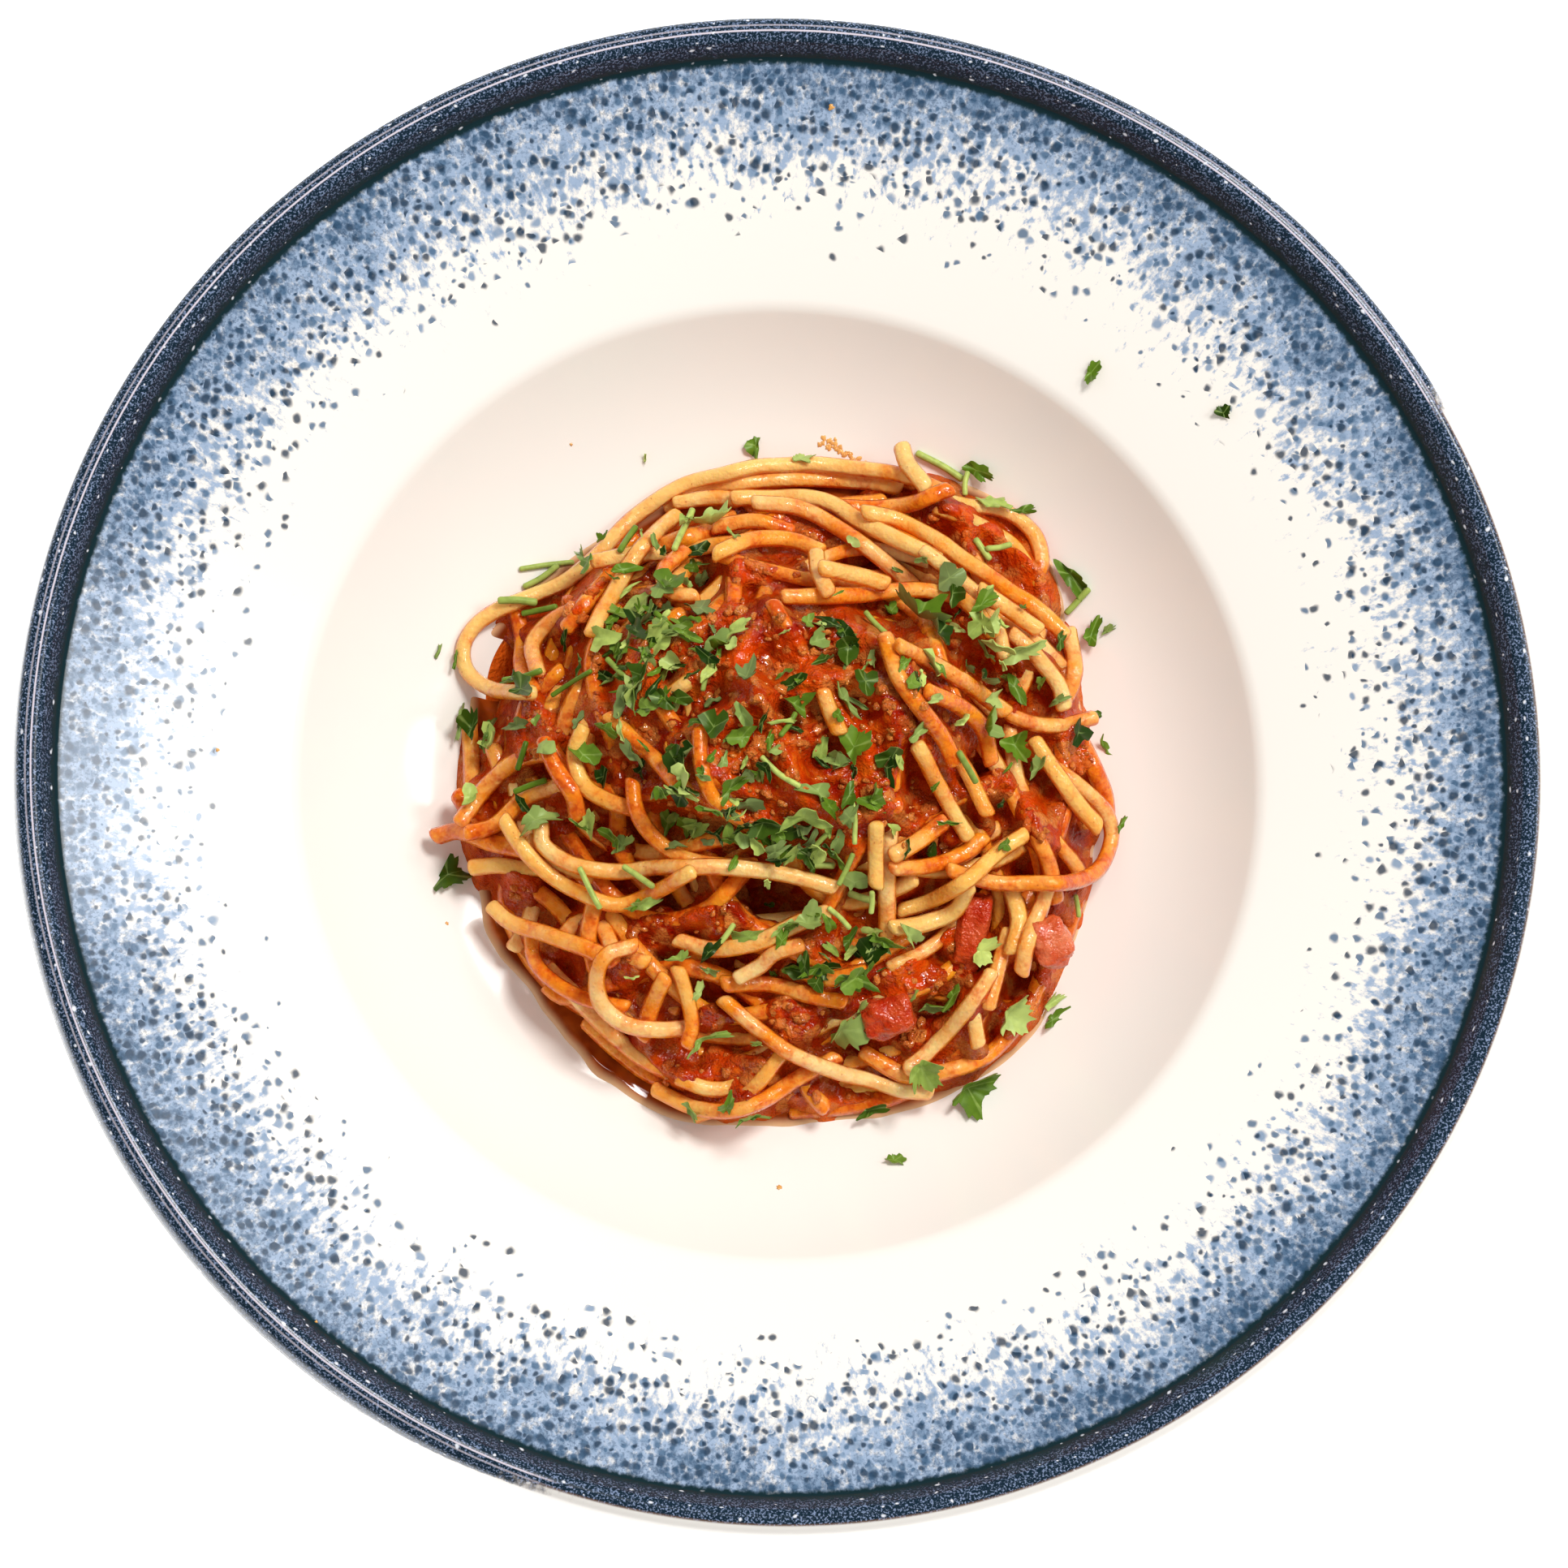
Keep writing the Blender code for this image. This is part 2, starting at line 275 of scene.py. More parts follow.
def add_tube(
    pile: MeshPile,
    line: Array,
    radius: Array,
    sides: int,
    flat: float = 0.0,
    slants: tuple[float, float] = (0.0, 0.0),
    **marks: Array,
) -> None:
    """Add a rod along a line, its ends cut with softened rims.

    Around each point of the line the ring is radius · ((1 + flat) · side · cos a + (1 - flat) · up
    · sin a), with side level and square to the line. An end's ring leans along the line by its
    slant · radius · cos a.

    Args:
        pile: Where the rod goes.
        line: The centre line, one point a row.
        radius: The rod's radius at each point.
        sides: Number of points in a ring.
        flat: How much wider than tall the rod is.
        slants: How far the first and the last end are cut aslant.
        marks: One number for each point of the line, or one for all.
    """
    out, wide = TIPS[:, :1], TIPS[:, 1]
    start, end = line[0] - line[1], line[-1] - line[-2]
    before = line[0] + radius[0] * out * start / np.linalg.norm(start)
    after = line[-1] + radius[-1] * out * end / np.linalg.norm(end)
    ends = np.vstack([before, line, after[::-1]])
    widths = np.concatenate([radius[0] * wide, radius, radius[-1] * wide[::-1]])
    along = np.gradient(ends, axis=0)
    along /= np.linalg.norm(along, axis=1, keepdims=True)
    side = np.cross(along, [0.0, 0.0, 1.0])
    side /= np.linalg.norm(side, axis=1, keepdims=True) + 1e-9
    up = np.cross(side, along)
    turn = np.linspace(0.0, 2.0 * math.pi, sides, endpoint=False)
    across, tall = (1.0 + flat) * np.cos(turn)[:, None], (1.0 - flat) * np.sin(turn)[:, None]
    ring = side[:, None] * across + up[:, None] * tall
    rows = len(ends)
    for row in range(len(TIPS) + 1):
        ring[row] += along[row] * slants[0] * np.cos(turn)[:, None]
        ring[-1 - row] += along[-1 - row] * slants[1] * np.cos(turn)[:, None]
    points = np.vstack([(ends[:, None] + ring * widths[:, None, None]).reshape(-1, 3), ends[[0, -1]]])
    first, last = np.arange(sides), np.arange(sides) + (rows - 1) * sides
    triangles = np.vstack([fan(rows * sides, first, False), fan(rows * sides + 1, last, True)])
    spread = {}
    for name, values in marks.items():
        each = np.pad(np.broadcast_to(values, len(line)), len(TIPS), mode="edge")
        spread[name] = np.concatenate([np.repeat(each, sides), each[[0, -1]]])
    pile.add(points, grid_quads(rows, sides, True)[:, ::-1], triangles, **spread)


# ---------------------------------------------------------------------------------------------
# Shader trees
# ---------------------------------------------------------------------------------------------


@dataclass(frozen=True)
class Tone:
    """A colour as it is named on a screen, each part from 0 to 255."""

    red: int
    green: int
    blue: int

    def linear(self) -> tuple[float, float, float, float]:
        """The colour as shaders mix it: each part's display curve undone."""
        parts = np.array([self.red, self.green, self.blue]) / 255.0
        undone = np.where(parts <= 0.04045, parts / 12.92, ((parts + 0.055) / 1.055) ** 2.4)
        return (*(float(p) for p in undone), 1.0)


class Wiring:
    """Short calls for wiring one shader tree."""

    def __init__(self, tree: bpy.types.NodeTree) -> None:
        self.tree = tree

    def feed(self, socket: Socket, value: object) -> None:
        """Link a socket to another, or set its constant."""
        if isinstance(value, bpy.types.NodeSocket):
            self.tree.links.new(value, socket)
        elif isinstance(value, Tone):
            socket.default_value = value.linear()
        else:
            socket.default_value = value

    def node(self, kind: str, inputs: dict[str, object] | None = None, **settings: object):
        """Add a node, set its properties and feed its named inputs."""
        made = self.tree.nodes.new(kind)
        for name, value in settings.items():
            setattr(made, name, value)
        for name, value in (inputs or {}).items():
            self.feed(made.inputs[name], value)
        return made

    def math(self, operation: str, a: object, b: object = 0.0, clamp: bool = False) -> Socket:
        """One arithmetic step."""
        made = self.tree.nodes.new("ShaderNodeMath")
        made.operation, made.use_clamp = operation, clamp
        self.feed(made.inputs[0], a)
        self.feed(made.inputs[1], b)
        return made.outputs[0]

    def smooth(self, value: object, low: object, high: object, start: object = 0.0, end: object = 1.0) -> Socket:
        """Smooth step of a value from start at low to end at high."""
        inputs = {"Value": value, "From Min": low, "From Max": high, "To Min": start, "To Max": end}
        made = self.node("ShaderNodeMapRange", interpolation_type="SMOOTHSTEP")
        for name, fed in inputs.items():
            self.feed(made.inputs[name], fed)
        return made.outputs["Result"]

    def mix(self, factor: object, a: object, b: object, blend: str = "MIX") -> Socket:
        """Blend two colours."""
        made = self.node("ShaderNodeMix", data_type="RGBA", blend_type=blend)
        self.feed(made.inputs[0], factor)
        self.feed(made.inputs[6], a)
        self.feed(made.inputs[7], b)
        return made.outputs[2]

    def noise(self, vector: Socket, scale: float, detail: float = 2.0, roughness: float = 0.5) -> Socket:
        """Soft noise from 0 to 1."""
        inputs = {"Vector": vector, "Scale": scale, "Detail": detail, "Roughness": roughness}
        return self.node("ShaderNodeTexNoise", inputs).outputs[0]

    def mark(self, name: str) -> Socket:
        """A number kept at the mesh's points."""
        return self.node("ShaderNodeAttribute", attribute_name=name).outputs["Fac"]

    def place(self) -> Socket:
        """Position in the object's own space."""
        return self.node("ShaderNodeTexCoord").outputs["Object"]

    def bump(self, height: Socket, strength: float, distance: float) -> Socket:
        """A normal tilted by a height in metres."""
        inputs = {"Height": height, "Strength": strength, "Distance": distance}
        return self.node("ShaderNodeBump", inputs).outputs[0]

    def group(self, tree: bpy.types.NodeTree, **inputs: object):
        """Add a node group and feed it, with spaces for the underscores in names."""
        made = self.node("ShaderNodeGroup", node_tree=tree)
        for name, value in inputs.items():
            self.feed(made.inputs[name.replace("_", " ")], value)
        return made


def new_group(name: str, inputs: dict[str, str], outputs: dict[str, str]) -> tuple[Wiring, Socket, Socket]:
    """An empty node group with typed sockets.

    Args:
        name: The group's name.
        inputs: Socket type for each input's name.
        outputs: Socket type for each output's name.

    Returns:
        Its wiring, the outputs of its input node and the inputs of its output node.
    """
    tree = bpy.data.node_groups.new(name, "ShaderNodeTree")
    for label, kind in inputs.items():
        tree.interface.new_socket(label, in_out="INPUT", socket_type=kind)
    for label, kind in outputs.items():
        tree.interface.new_socket(label, in_out="OUTPUT", socket_type=kind)
    wiring = Wiring(tree)
    return wiring, wiring.node("NodeGroupInput").outputs, wiring.node("NodeGroupOutput").inputs


FLOAT, VECTOR, COLOUR = "NodeSocketFloat", "NodeSocketVector", "NodeSocketColor"


class Effects:
    """Node groups that more than one material uses."""

    def __init__(self) -> None:
        self.dots = self._dots()
        self.film = self._film()
        self.meat = self._meat()

    @staticmethod
    def _dots() -> bpy.types.NodeTree:
        """Round dots, one at most to a cell, of random size and as many as Amount asks for."""
        w, given, out = new_group(
            "Scattered dots",
            {"Position": VECTOR, "Cells": FLOAT, "Amount": FLOAT, "Size": FLOAT},
            {"Mask": FLOAT},
        )
        wobble = w.node("ShaderNodeTexNoise", {"Vector": given["Position"], "Scale": 700.0, "Detail": 0.0})
        shifted = w.node("ShaderNodeVectorMath", operation="MULTIPLY_ADD")
        w.feed(shifted.inputs[0], wobble.outputs["Color"])
        w.feed(shifted.inputs[1], (0.0008, 0.0008, 0.0))
        w.feed(shifted.inputs[2], given["Position"])
        cells = w.node(
            "ShaderNodeTexVoronoi",
            {"Vector": shifted.outputs[0], "Scale": given["Cells"], "Randomness": 1.0},
            voronoi_dimensions="2D",
        )
        pick = w.node("ShaderNodeSeparateColor", {"Color": cells.outputs["Color"]})
        present = w.math("LESS_THAN", pick.outputs[0], given["Amount"])
        radius = w.math("MULTIPLY", w.math("ADD", w.math("MULTIPLY", pick.outputs[1], 0.75), 0.35), given["Size"])
        inner = w.math("MULTIPLY", radius, 0.35)
        round_ = w.smooth(cells.outputs["Distance"], inner, radius, 1.0, 0.0)
        w.feed(out["Mask"], w.math("MULTIPLY", present, round_))
        return w.tree

    @staticmethod
    def _film() -> bpy.types.NodeTree:
        """How thickly sauce clings to a moist surface, blotched, and its fine unevenness."""
        w, given, out = new_group(
            "Clinging sauce", {"Position": VECTOR, "Amount": FLOAT}, {"Sauce": FLOAT, "Height": FLOAT}
        )
        wide = w.noise(given["Position"], 190.0, 3.0, 0.6)
        fine = w.noise(given["Position"], 1000.0, 2.0, 0.55)
        blotch = w.math("ADD", w.math("MULTIPLY", wide, 0.72), w.math("MULTIPLY", fine, 0.28))
        low = w.math("SUBTRACT", 0.73, w.math("MULTIPLY", given["Amount"], 0.36))
        w.feed(out["Sauce"], w.smooth(blotch, w.math("SUBTRACT", low, 0.10), w.math("ADD", low, 0.16)))
        w.feed(out["Height"], w.math("ADD", fine, w.math("MULTIPLY", blotch, 0.8)))
        return w.tree

    @staticmethod
    def _meat() -> bpy.types.NodeTree:
        """Colour of mince in tomato sauce: red sauce in the hollows, browner grains on top."""
        w, given, out = new_group(
            "Mince in sauce",
            {"Position": VECTOR, "Grain": FLOAT, "Kind": FLOAT},
            {"Color": COLOUR, "Height": FLOAT},
        )
        patches = w.noise(given["Position"], 95.0, 3.0, 0.6)
        grit = w.noise(given["Position"], 1500.0, 2.0, 0.6)
        soft = w.noise(given["Position"], 420.0, 3.0, 0.55)
        red = w.mix(w.smooth(patches, 0.34, 0.66), Tone(158, 18, 0), Tone(224, 70, 2))
        red = w.mix(w.smooth(soft, 0.45, 0.75, 0.0, 0.8), red, Tone(232, 104, 16))
        brown = w.mix(given["Kind"], Tone(192, 76, 10), Tone(238, 152, 70))
        brown = w.mix(w.smooth(grit, 0.4, 0.62, 0.0, 0.6), brown, Tone(206, 96, 36))
        top = w.math("MULTIPLY", w.smooth(given["Grain"], 0.28, 0.6), w.smooth(given["Kind"], 0.3, 0.8, 0.1, 0.8))
        w.feed(out["Color"], w.mix(top, red, brown))
        rough = w.math("MULTIPLY", grit, w.smooth(given["Grain"], 0.1, 0.5, 0.5, 1.0))
        w.feed(out["Height"], w.math("ADD", w.math("MULTIPLY", soft, 0.8), rough))
        return w.tree


@dataclass(frozen=True)
class Finish:
    """How a piece's surface looks. Each kind wires its own colours into one plain shader."""

    name: str = "finish"
    roughness: float = 0.4
    coat: float = 0.0
    coat_roughness: float = 0.1
    shine: float = 0.5
    glint: Tone = Tone(255, 255, 255)
    scatter: float = 0.0
    scatter_reach: tuple[float, float, float] = (0.002, 0.001, 0.0005)
    slot: str = ""

    def wire(self, w: Wiring, shader: bpy.types.Node, effects: Effects) -> None:
        """Feed the shader's colour and relief."""
        raise NotImplementedError

    def dress(self, piece: bpy.types.Object, effects: Effects) -> None:
        """Give a piece this finish."""
        made = bpy.data.materials.new(self.name)
        made.use_nodes = True
        shader = made.node_tree.nodes["Principled BSDF"]
        shader.inputs["Roughness"].default_value = self.roughness
        shader.inputs["Specular IOR Level"].default_value = self.shine
        shader.inputs["Specular Tint"].default_value = self.glint.linear()
        shader.inputs["Coat Weight"].default_value = self.coat
        shader.inputs["Coat Roughness"].default_value = self.coat_roughness
        shader.inputs["Subsurface Weight"].default_value = self.scatter
        shader.inputs["Subsurface Radius"].default_value = self.scatter_reach
        shader.inputs["Subsurface Scale"].default_value = 1.0
        self.wire(Wiring(made.node_tree), shader, effects)
        piece.data.materials.clear()
        piece.data.materials.append(made)


@dataclass(frozen=True)
class GlazeFinish(Finish):
    """Cream glaze with blue speckles that thicken into a dark valley and a navy lip."""

    def wire(self, w: Wiring, shader: bpy.types.Node, effects: Effects) -> None:
        """Layers by distance from the axis: cream, pale wash, dots in three blues, navy lip."""
        place = w.place()
        apart = w.node("ShaderNodeSeparateXYZ", {"Vector": place})
        x, y, z = apart.outputs["X"], apart.outputs["Y"], apart.outputs["Z"]
        radius = w.math("SQRT", w.math("ADD", w.math("MULTIPLY", x, x), w.math("MULTIPLY", y, y)))
        patchy = w.noise(place, 70.0, 3.0, 0.6)
        ragged = w.math("ADD", radius, w.math("MULTIPLY", w.math("SUBTRACT", patchy, 0.5), 0.020))
        upper = w.mark("upper")

        cream = Tone(251, 245, 236)
        outwards = w.node(
            "ShaderNodeCombineXYZ",
            {
                "X": w.math("MULTIPLY", w.math("DIVIDE", x, radius), 0.115),
                "Y": w.math("MULTIPLY", w.math("DIVIDE", y, radius), 0.115),
                "Z": w.math("MULTIPLY", radius, 0.7),
            },
        ).outputs[0]
        mottle = w.noise(outwards, 640.0, 4.0, 0.62)
        cover = w.smooth(ragged, 0.100, 0.124)
        wash = w.smooth(mottle, w.math("SUBTRACT", 0.62, w.math("MULTIPLY", cover, 0.38)), w.math("SUBTRACT", 0.74, w.math("MULTIPLY", cover, 0.22)))
        base = w.mix(w.math("MULTIPLY", wash, w.smooth(ragged, 0.096, 0.104)), cream, Tone(160, 180, 206))
        for cells, size, low, high, most, tone in (
            (440.0, 0.62, 0.098, 0.127, 0.62, Tone(130, 154, 182)),
            (520.0, 0.58, 0.095, 0.127, 0.66, Tone(80, 110, 140)),
            (480.0, 0.60, 0.093, 0.128, 0.60, Tone(34, 56, 78)),
        ):
            dots = w.group(effects.dots, Position=place, Cells=cells, Size=size)
            w.feed(dots.inputs["Amount"], w.smooth(ragged, low, high, 0.0, most))
            base = w.mix(w.math("MULTIPLY", dots.outputs[0], 0.9), base, tone)
        murk = w.noise(outwards, 800.0, 4.0, 0.62)
        close = w.smooth(ragged, 0.115, 0.1262)
        eastern = w.smooth(w.math("DIVIDE", x, radius), -0.4, 0.5, 0.30, 0.44)
        deep = w.smooth(murk, w.math("SUBTRACT", 0.68, w.math("MULTIPLY", close, eastern)), 0.70)
        base = w.mix(w.math("MULTIPLY", w.math("MULTIPLY", deep, close), 0.9), base, Tone(62, 92, 122))
        grains = w.smooth(w.noise(place, 1700.0, 2.0, 0.6), 0.48, 0.62, 0.0, 0.5)
        base = w.mix(w.math("MULTIPLY", grains, w.smooth(ragged, 0.110, 0.124)), base, Tone(46, 72, 100))

        edge = w.math("ADD", radius, w.math("MULTIPLY", w.math("SUBTRACT", murk, 0.5), 0.0016))
        base = w.mix(w.smooth(edge, 0.1263, 0.1272), base, Tone(24, 46, 52))
        flecks = w.noise(place, 2600.0, 2.0, 0.6)
        flecked = w.math("MULTIPLY", w.smooth(flecks, 0.5, 0.64), w.smooth(radius, 0.1272, 0.1308, 0.15, 0.8))
        navy = w.mix(flecked, Tone(24, 42, 56), Tone(140, 158, 192))
        base = w.mix(w.smooth(edge, 0.1279, 0.1287), base, navy)
        facing = w.math("ADD", w.math("MULTIPLY", x, 0.766), w.math("MULTIPLY", y, -0.643))
        turned = w.math("DIVIDE", facing, radius)
        dipped = w.math("SUBTRACT", turned, w.smooth(z, 0.0385, 0.0465, 0.0, 0.33))
        wavy = w.math("MULTIPLY", w.math("SUBTRACT", w.math("ADD", patchy, murk), 1.0), 0.1)
        bare = w.smooth(w.math("ADD", dipped, wavy), 0.0, 0.06)
        # Two pale lilac lines, one either side of the lip's crest and fainter on the outer one, left off where the lip
        # is bare.
        off = w.math("ABSOLUTE", w.math("SUBTRACT", radius, 0.1321))
        pair = w.math("MULTIPLY", w.smooth(off, 0.00026, 0.0004), w.smooth(off, 0.00058, 0.00072, 1.0, 0.0))
        crest = w.math("MULTIPLY", pair, w.smooth(radius, 0.1319, 0.1322, 1.0, 0.5))
        thin = w.math("MULTIPLY", crest, w.math("SUBTRACT", 1.0, bare))
        base = w.mix(w.math("MULTIPLY", thin, 0.9), base, Tone(222, 212, 222))
        unrolled = w.node("ShaderNodeVectorMath", operation="SCALE")
        w.feed(unrolled.inputs["Vector"], place)
        side = w.math("SIGN", w.math("SUBTRACT", radius, 0.1319))
        down = w.math("MULTIPLY", w.math("SUBTRACT", 0.047, z), side)
        w.feed(unrolled.inputs["Scale"], w.math("ADD", w.math("DIVIDE", down, radius), 1.0))
        white = w.group(effects.dots, Position=unrolled.outputs[0], Cells=330.0, Amount=0.3, Size=0.17)
        base = w.mix(w.math("MULTIPLY", white.outputs[0], w.smooth(radius, 0.1272, 0.128)), base, Tone(225, 228, 236))

        brown = w.math("MULTIPLY", w.smooth(radius, 0.1324, 0.1328), bare)
        base = w.mix(w.math("MULTIPLY", brown, 0.4), base, Tone(170, 130, 100))
        base = w.mix(w.math("MULTIPLY", w.smooth(radius, 0.1327, 0.1331), bare), base, Tone(236, 232, 226))
        below = w.math("SUBTRACT", 1.0, upper)
        w.feed(shader.inputs["Base Color"], w.mix(below, base, Tone(246, 240, 232)))
        w.feed(shader.inputs["Coat Weight"], w.smooth(radius, 0.1262, 0.1275, 0.57, 0.0))


@dataclass(frozen=True)
class PastaFinish(Finish):
    """Cooked pasta, from pale to sauce-stained by the marks at its points."""

    def wire(self, w: Wiring, shader: bpy.types.Node, effects: Effects) -> None:
        """Pale wheat stained orange by oil, deeper orange on the sides partly as painted shade, under a blotched film
        of sauce.
        """
        place = w.place()
        sauce = w.mark("sauce")
        facing = w.node("ShaderNodeSeparateXYZ", {"Vector": w.node("ShaderNodeNewGeometry").outputs["Normal"]})
        # Sides of the strand, by how far its normal turns from up: oil and sauce that cling there, and partly painted
        # shade, the tops kept pale as if lit and the sides deeper orange.
        flank_oil_and_shade = w.smooth(facing.outputs["Z"], 0.0, 0.85, 0.7, 0.0)
        amount = w.math("ADD", w.math("ADD", sauce, 0.08), w.math("MULTIPLY", flank_oil_and_shade, 0.45))
        film = w.group(effects.film, Position=place, Amount=amount)
        body = w.mix(w.mark("tint"), Tone(255, 213, 144), Tone(253, 194, 100))
        streak = w.noise(place, 210.0, 3.0, 0.6)
        uneven = w.math("MULTIPLY", w.math("SUBTRACT", streak, 0.5), 2.0)
        stain = w.math("ADD", w.math("ADD", w.smooth(sauce, 0.0, 0.8), flank_oil_and_shade), uneven, clamp=True)
        oily = w.mix(stain, body, Tone(250, 148, 30))
        thick = w.smooth(w.noise(place, 520.0, 2.0, 0.6), 0.4, 0.62)
        coat = w.mix(thick, Tone(238, 116, 26), Tone(206, 60, 4))
        coated = w.mix(w.math("MULTIPLY", film.outputs["Sauce"], 0.85), oily, coat)
        specks = w.group(effects.dots, Position=place, Cells=700.0, Size=0.16)
        w.feed(specks.inputs["Amount"], w.smooth(sauce, 0.0, 1.0, 0.1, 0.35))
        w.feed(shader.inputs["Base Color"], w.mix(w.math("MULTIPLY", specks.outputs[0], 0.5), coated, Tone(176, 64, 16)))
        w.feed(shader.inputs["Normal"], w.bump(film.outputs["Height"], 0.7, 0.0004))
        w.feed(shader.inputs["Coat Normal"], w.bump(w.noise(place, 900.0, 2.0, 0.6), 0.7, 0.0004))
        w.feed(shader.inputs["Coat Weight"], w.smooth(film.outputs["Sauce"], 0.0, 1.0, 0.65, 1.0))


@dataclass(frozen=True)
class SauceFinish(Finish):
    """Moist mince in tomato sauce."""

    def wire(self, w: Wiring, shader: bpy.types.Node, effects: Effects) -> None:
        """Grain and kind come from the marks that the mesh keeps; the mark deep paints shade into the sauce that lies
        low between the strands.
        """
        meat = w.group(effects.meat, Position=w.place(), Grain=w.mark("grain"), Kind=w.mark("kind"))
        oily = w.mark("oily")
        # Painted shade: the sauce is darkened towards near black red where it lies deep under the strand tops round it.
        hollow = w.mix(w.math("MULTIPLY", w.mark("deep"), 0.3), meat.outputs["Color"], Tone(92, 8, 0))
        w.feed(shader.inputs["Base Color"], w.mix(w.math("MULTIPLY", oily, 0.8), hollow, Tone(222, 98, 22)))
        facing = w.node("ShaderNodeSeparateXYZ", {"Vector": w.node("ShaderNodeNewGeometry").outputs["Normal"]})
        level = w.smooth(facing.outputs["Z"], 0.25, 0.8)
        w.feed(shader.inputs["Coat Weight"], w.math("MULTIPLY", level, w.smooth(oily, 0.0, 0.9, 1.0, 0.3)))
        w.feed(shader.inputs["Normal"], w.bump(meat.outputs["Height"], 1.0, 0.0009))
        pulp = w.noise(w.place(), 850.0, 2.0, 0.55)
        pulpy = w.smooth(w.noise(w.place(), 130.0, 2.0, 0.5), 0.38, 0.6, 0.25, 1.0)
        w.feed(shader.inputs["Coat Normal"], w.bump(w.math("MULTIPLY", pulp, pulpy), 1.0, 0.0009))


@dataclass(frozen=True)
class PoolFinish(Finish):
    """Thin oily sauce, caramel at its shore and darker where it is deep."""

    shallow: Tone = Tone(236, 190, 142)

    def wire(self, w: Wiring, shader: bpy.types.Node, effects: Effects) -> None:
        """Colour by the depth kept at each point."""
        depth = w.mark("depth")
        cloud = w.noise(w.place(), 120.0, 3.0, 0.6)
        deep = w.mix(w.smooth(cloud, 0.35, 0.65), Tone(124, 42, 6), Tone(178, 80, 20))
        w.feed(shader.inputs["Base Color"], w.mix(w.smooth(depth, 0.0, 0.75), self.shallow, deep))


@dataclass(frozen=True)
class TomatoFinish(Finish):
    """Cooked tomato flesh with a little sauce on it."""

    ripe: Tone = Tone(182, 34, 8)
    pale: Tone = Tone(210, 84, 44)

    def wire(self, w: Wiring, shader: bpy.types.Node, effects: Effects) -> None:
        """Soft red with paler streaks and a film of sauce."""
        place = w.place()
        film = w.group(effects.film, Position=place, Amount=0.62)
        streak = w.noise(place, 260.0, 4.0, 0.6)
        flesh = w.mix(w.smooth(streak, 0.35, 0.7), self.ripe, self.pale)
        w.feed(shader.inputs["Base Color"], w.mix(w.math("MULTIPLY", film.outputs["Sauce"], 0.75), flesh, Tone(204, 72, 14)))
        w.feed(shader.inputs["Normal"], w.bump(w.math("ADD", film.outputs["Height"], streak), 0.7, 0.0008))
        w.feed(shader.inputs["Coat Normal"], w.bump(w.noise(place, 700.0, 2.0, 0.5), 0.7, 0.0006))


@dataclass(frozen=True)
class LeafFinish(Finish):
    """Chopped parsley, each piece of its own green with paler ribs."""

    def wire(self, w: Wiring, shader: bpy.types.Node, effects: Effects) -> None:
        """Green by the piece's tint, ribs by the mark that runs out from the leaf's base."""
        tint = w.mark("tint")
        dark = w.mix(w.smooth(tint, 0.0, 0.5), Tone(30, 54, 8), Tone(100, 132, 32))
        green = w.mix(w.smooth(tint, 0.5, 1.0), dark, Tone(196, 212, 112))
        ribs = w.smooth(w.mark("rib"), 0.75, 1.0)
        cloud = w.noise(w.place(), 700.0, 2.0, 0.5)
        veined = w.mix(w.math("MULTIPLY", ribs, 0.4), green, Tone(176, 200, 108))
        shade = w.mix(w.smooth(cloud, 0.4, 0.7, 0.0, 0.25), veined, Tone(34, 66, 10))
        w.feed(shader.inputs["Base Color"], w.mix(w.math("MULTIPLY", w.mark("under"), 0.45), shade, Tone(166, 182, 112)))


@dataclass(frozen=True)
class PlainFinish(Finish):
    """One colour all over, with a glow if it lights the scene."""

    tone: Tone = Tone(255, 255, 255)
    glow: float = 0.0

    def wire(self, w: Wiring, shader: bpy.types.Node, effects: Effects) -> None:
        """Set the colour and the glow."""
        w.feed(shader.inputs["Base Color"], self.tone)
        w.feed(shader.inputs["Emission Color"], self.tone)
        w.feed(shader.inputs["Emission Strength"], self.glow)


# ---------------------------------------------------------------------------------------------
# The plate
# ---------------------------------------------------------------------------------------------


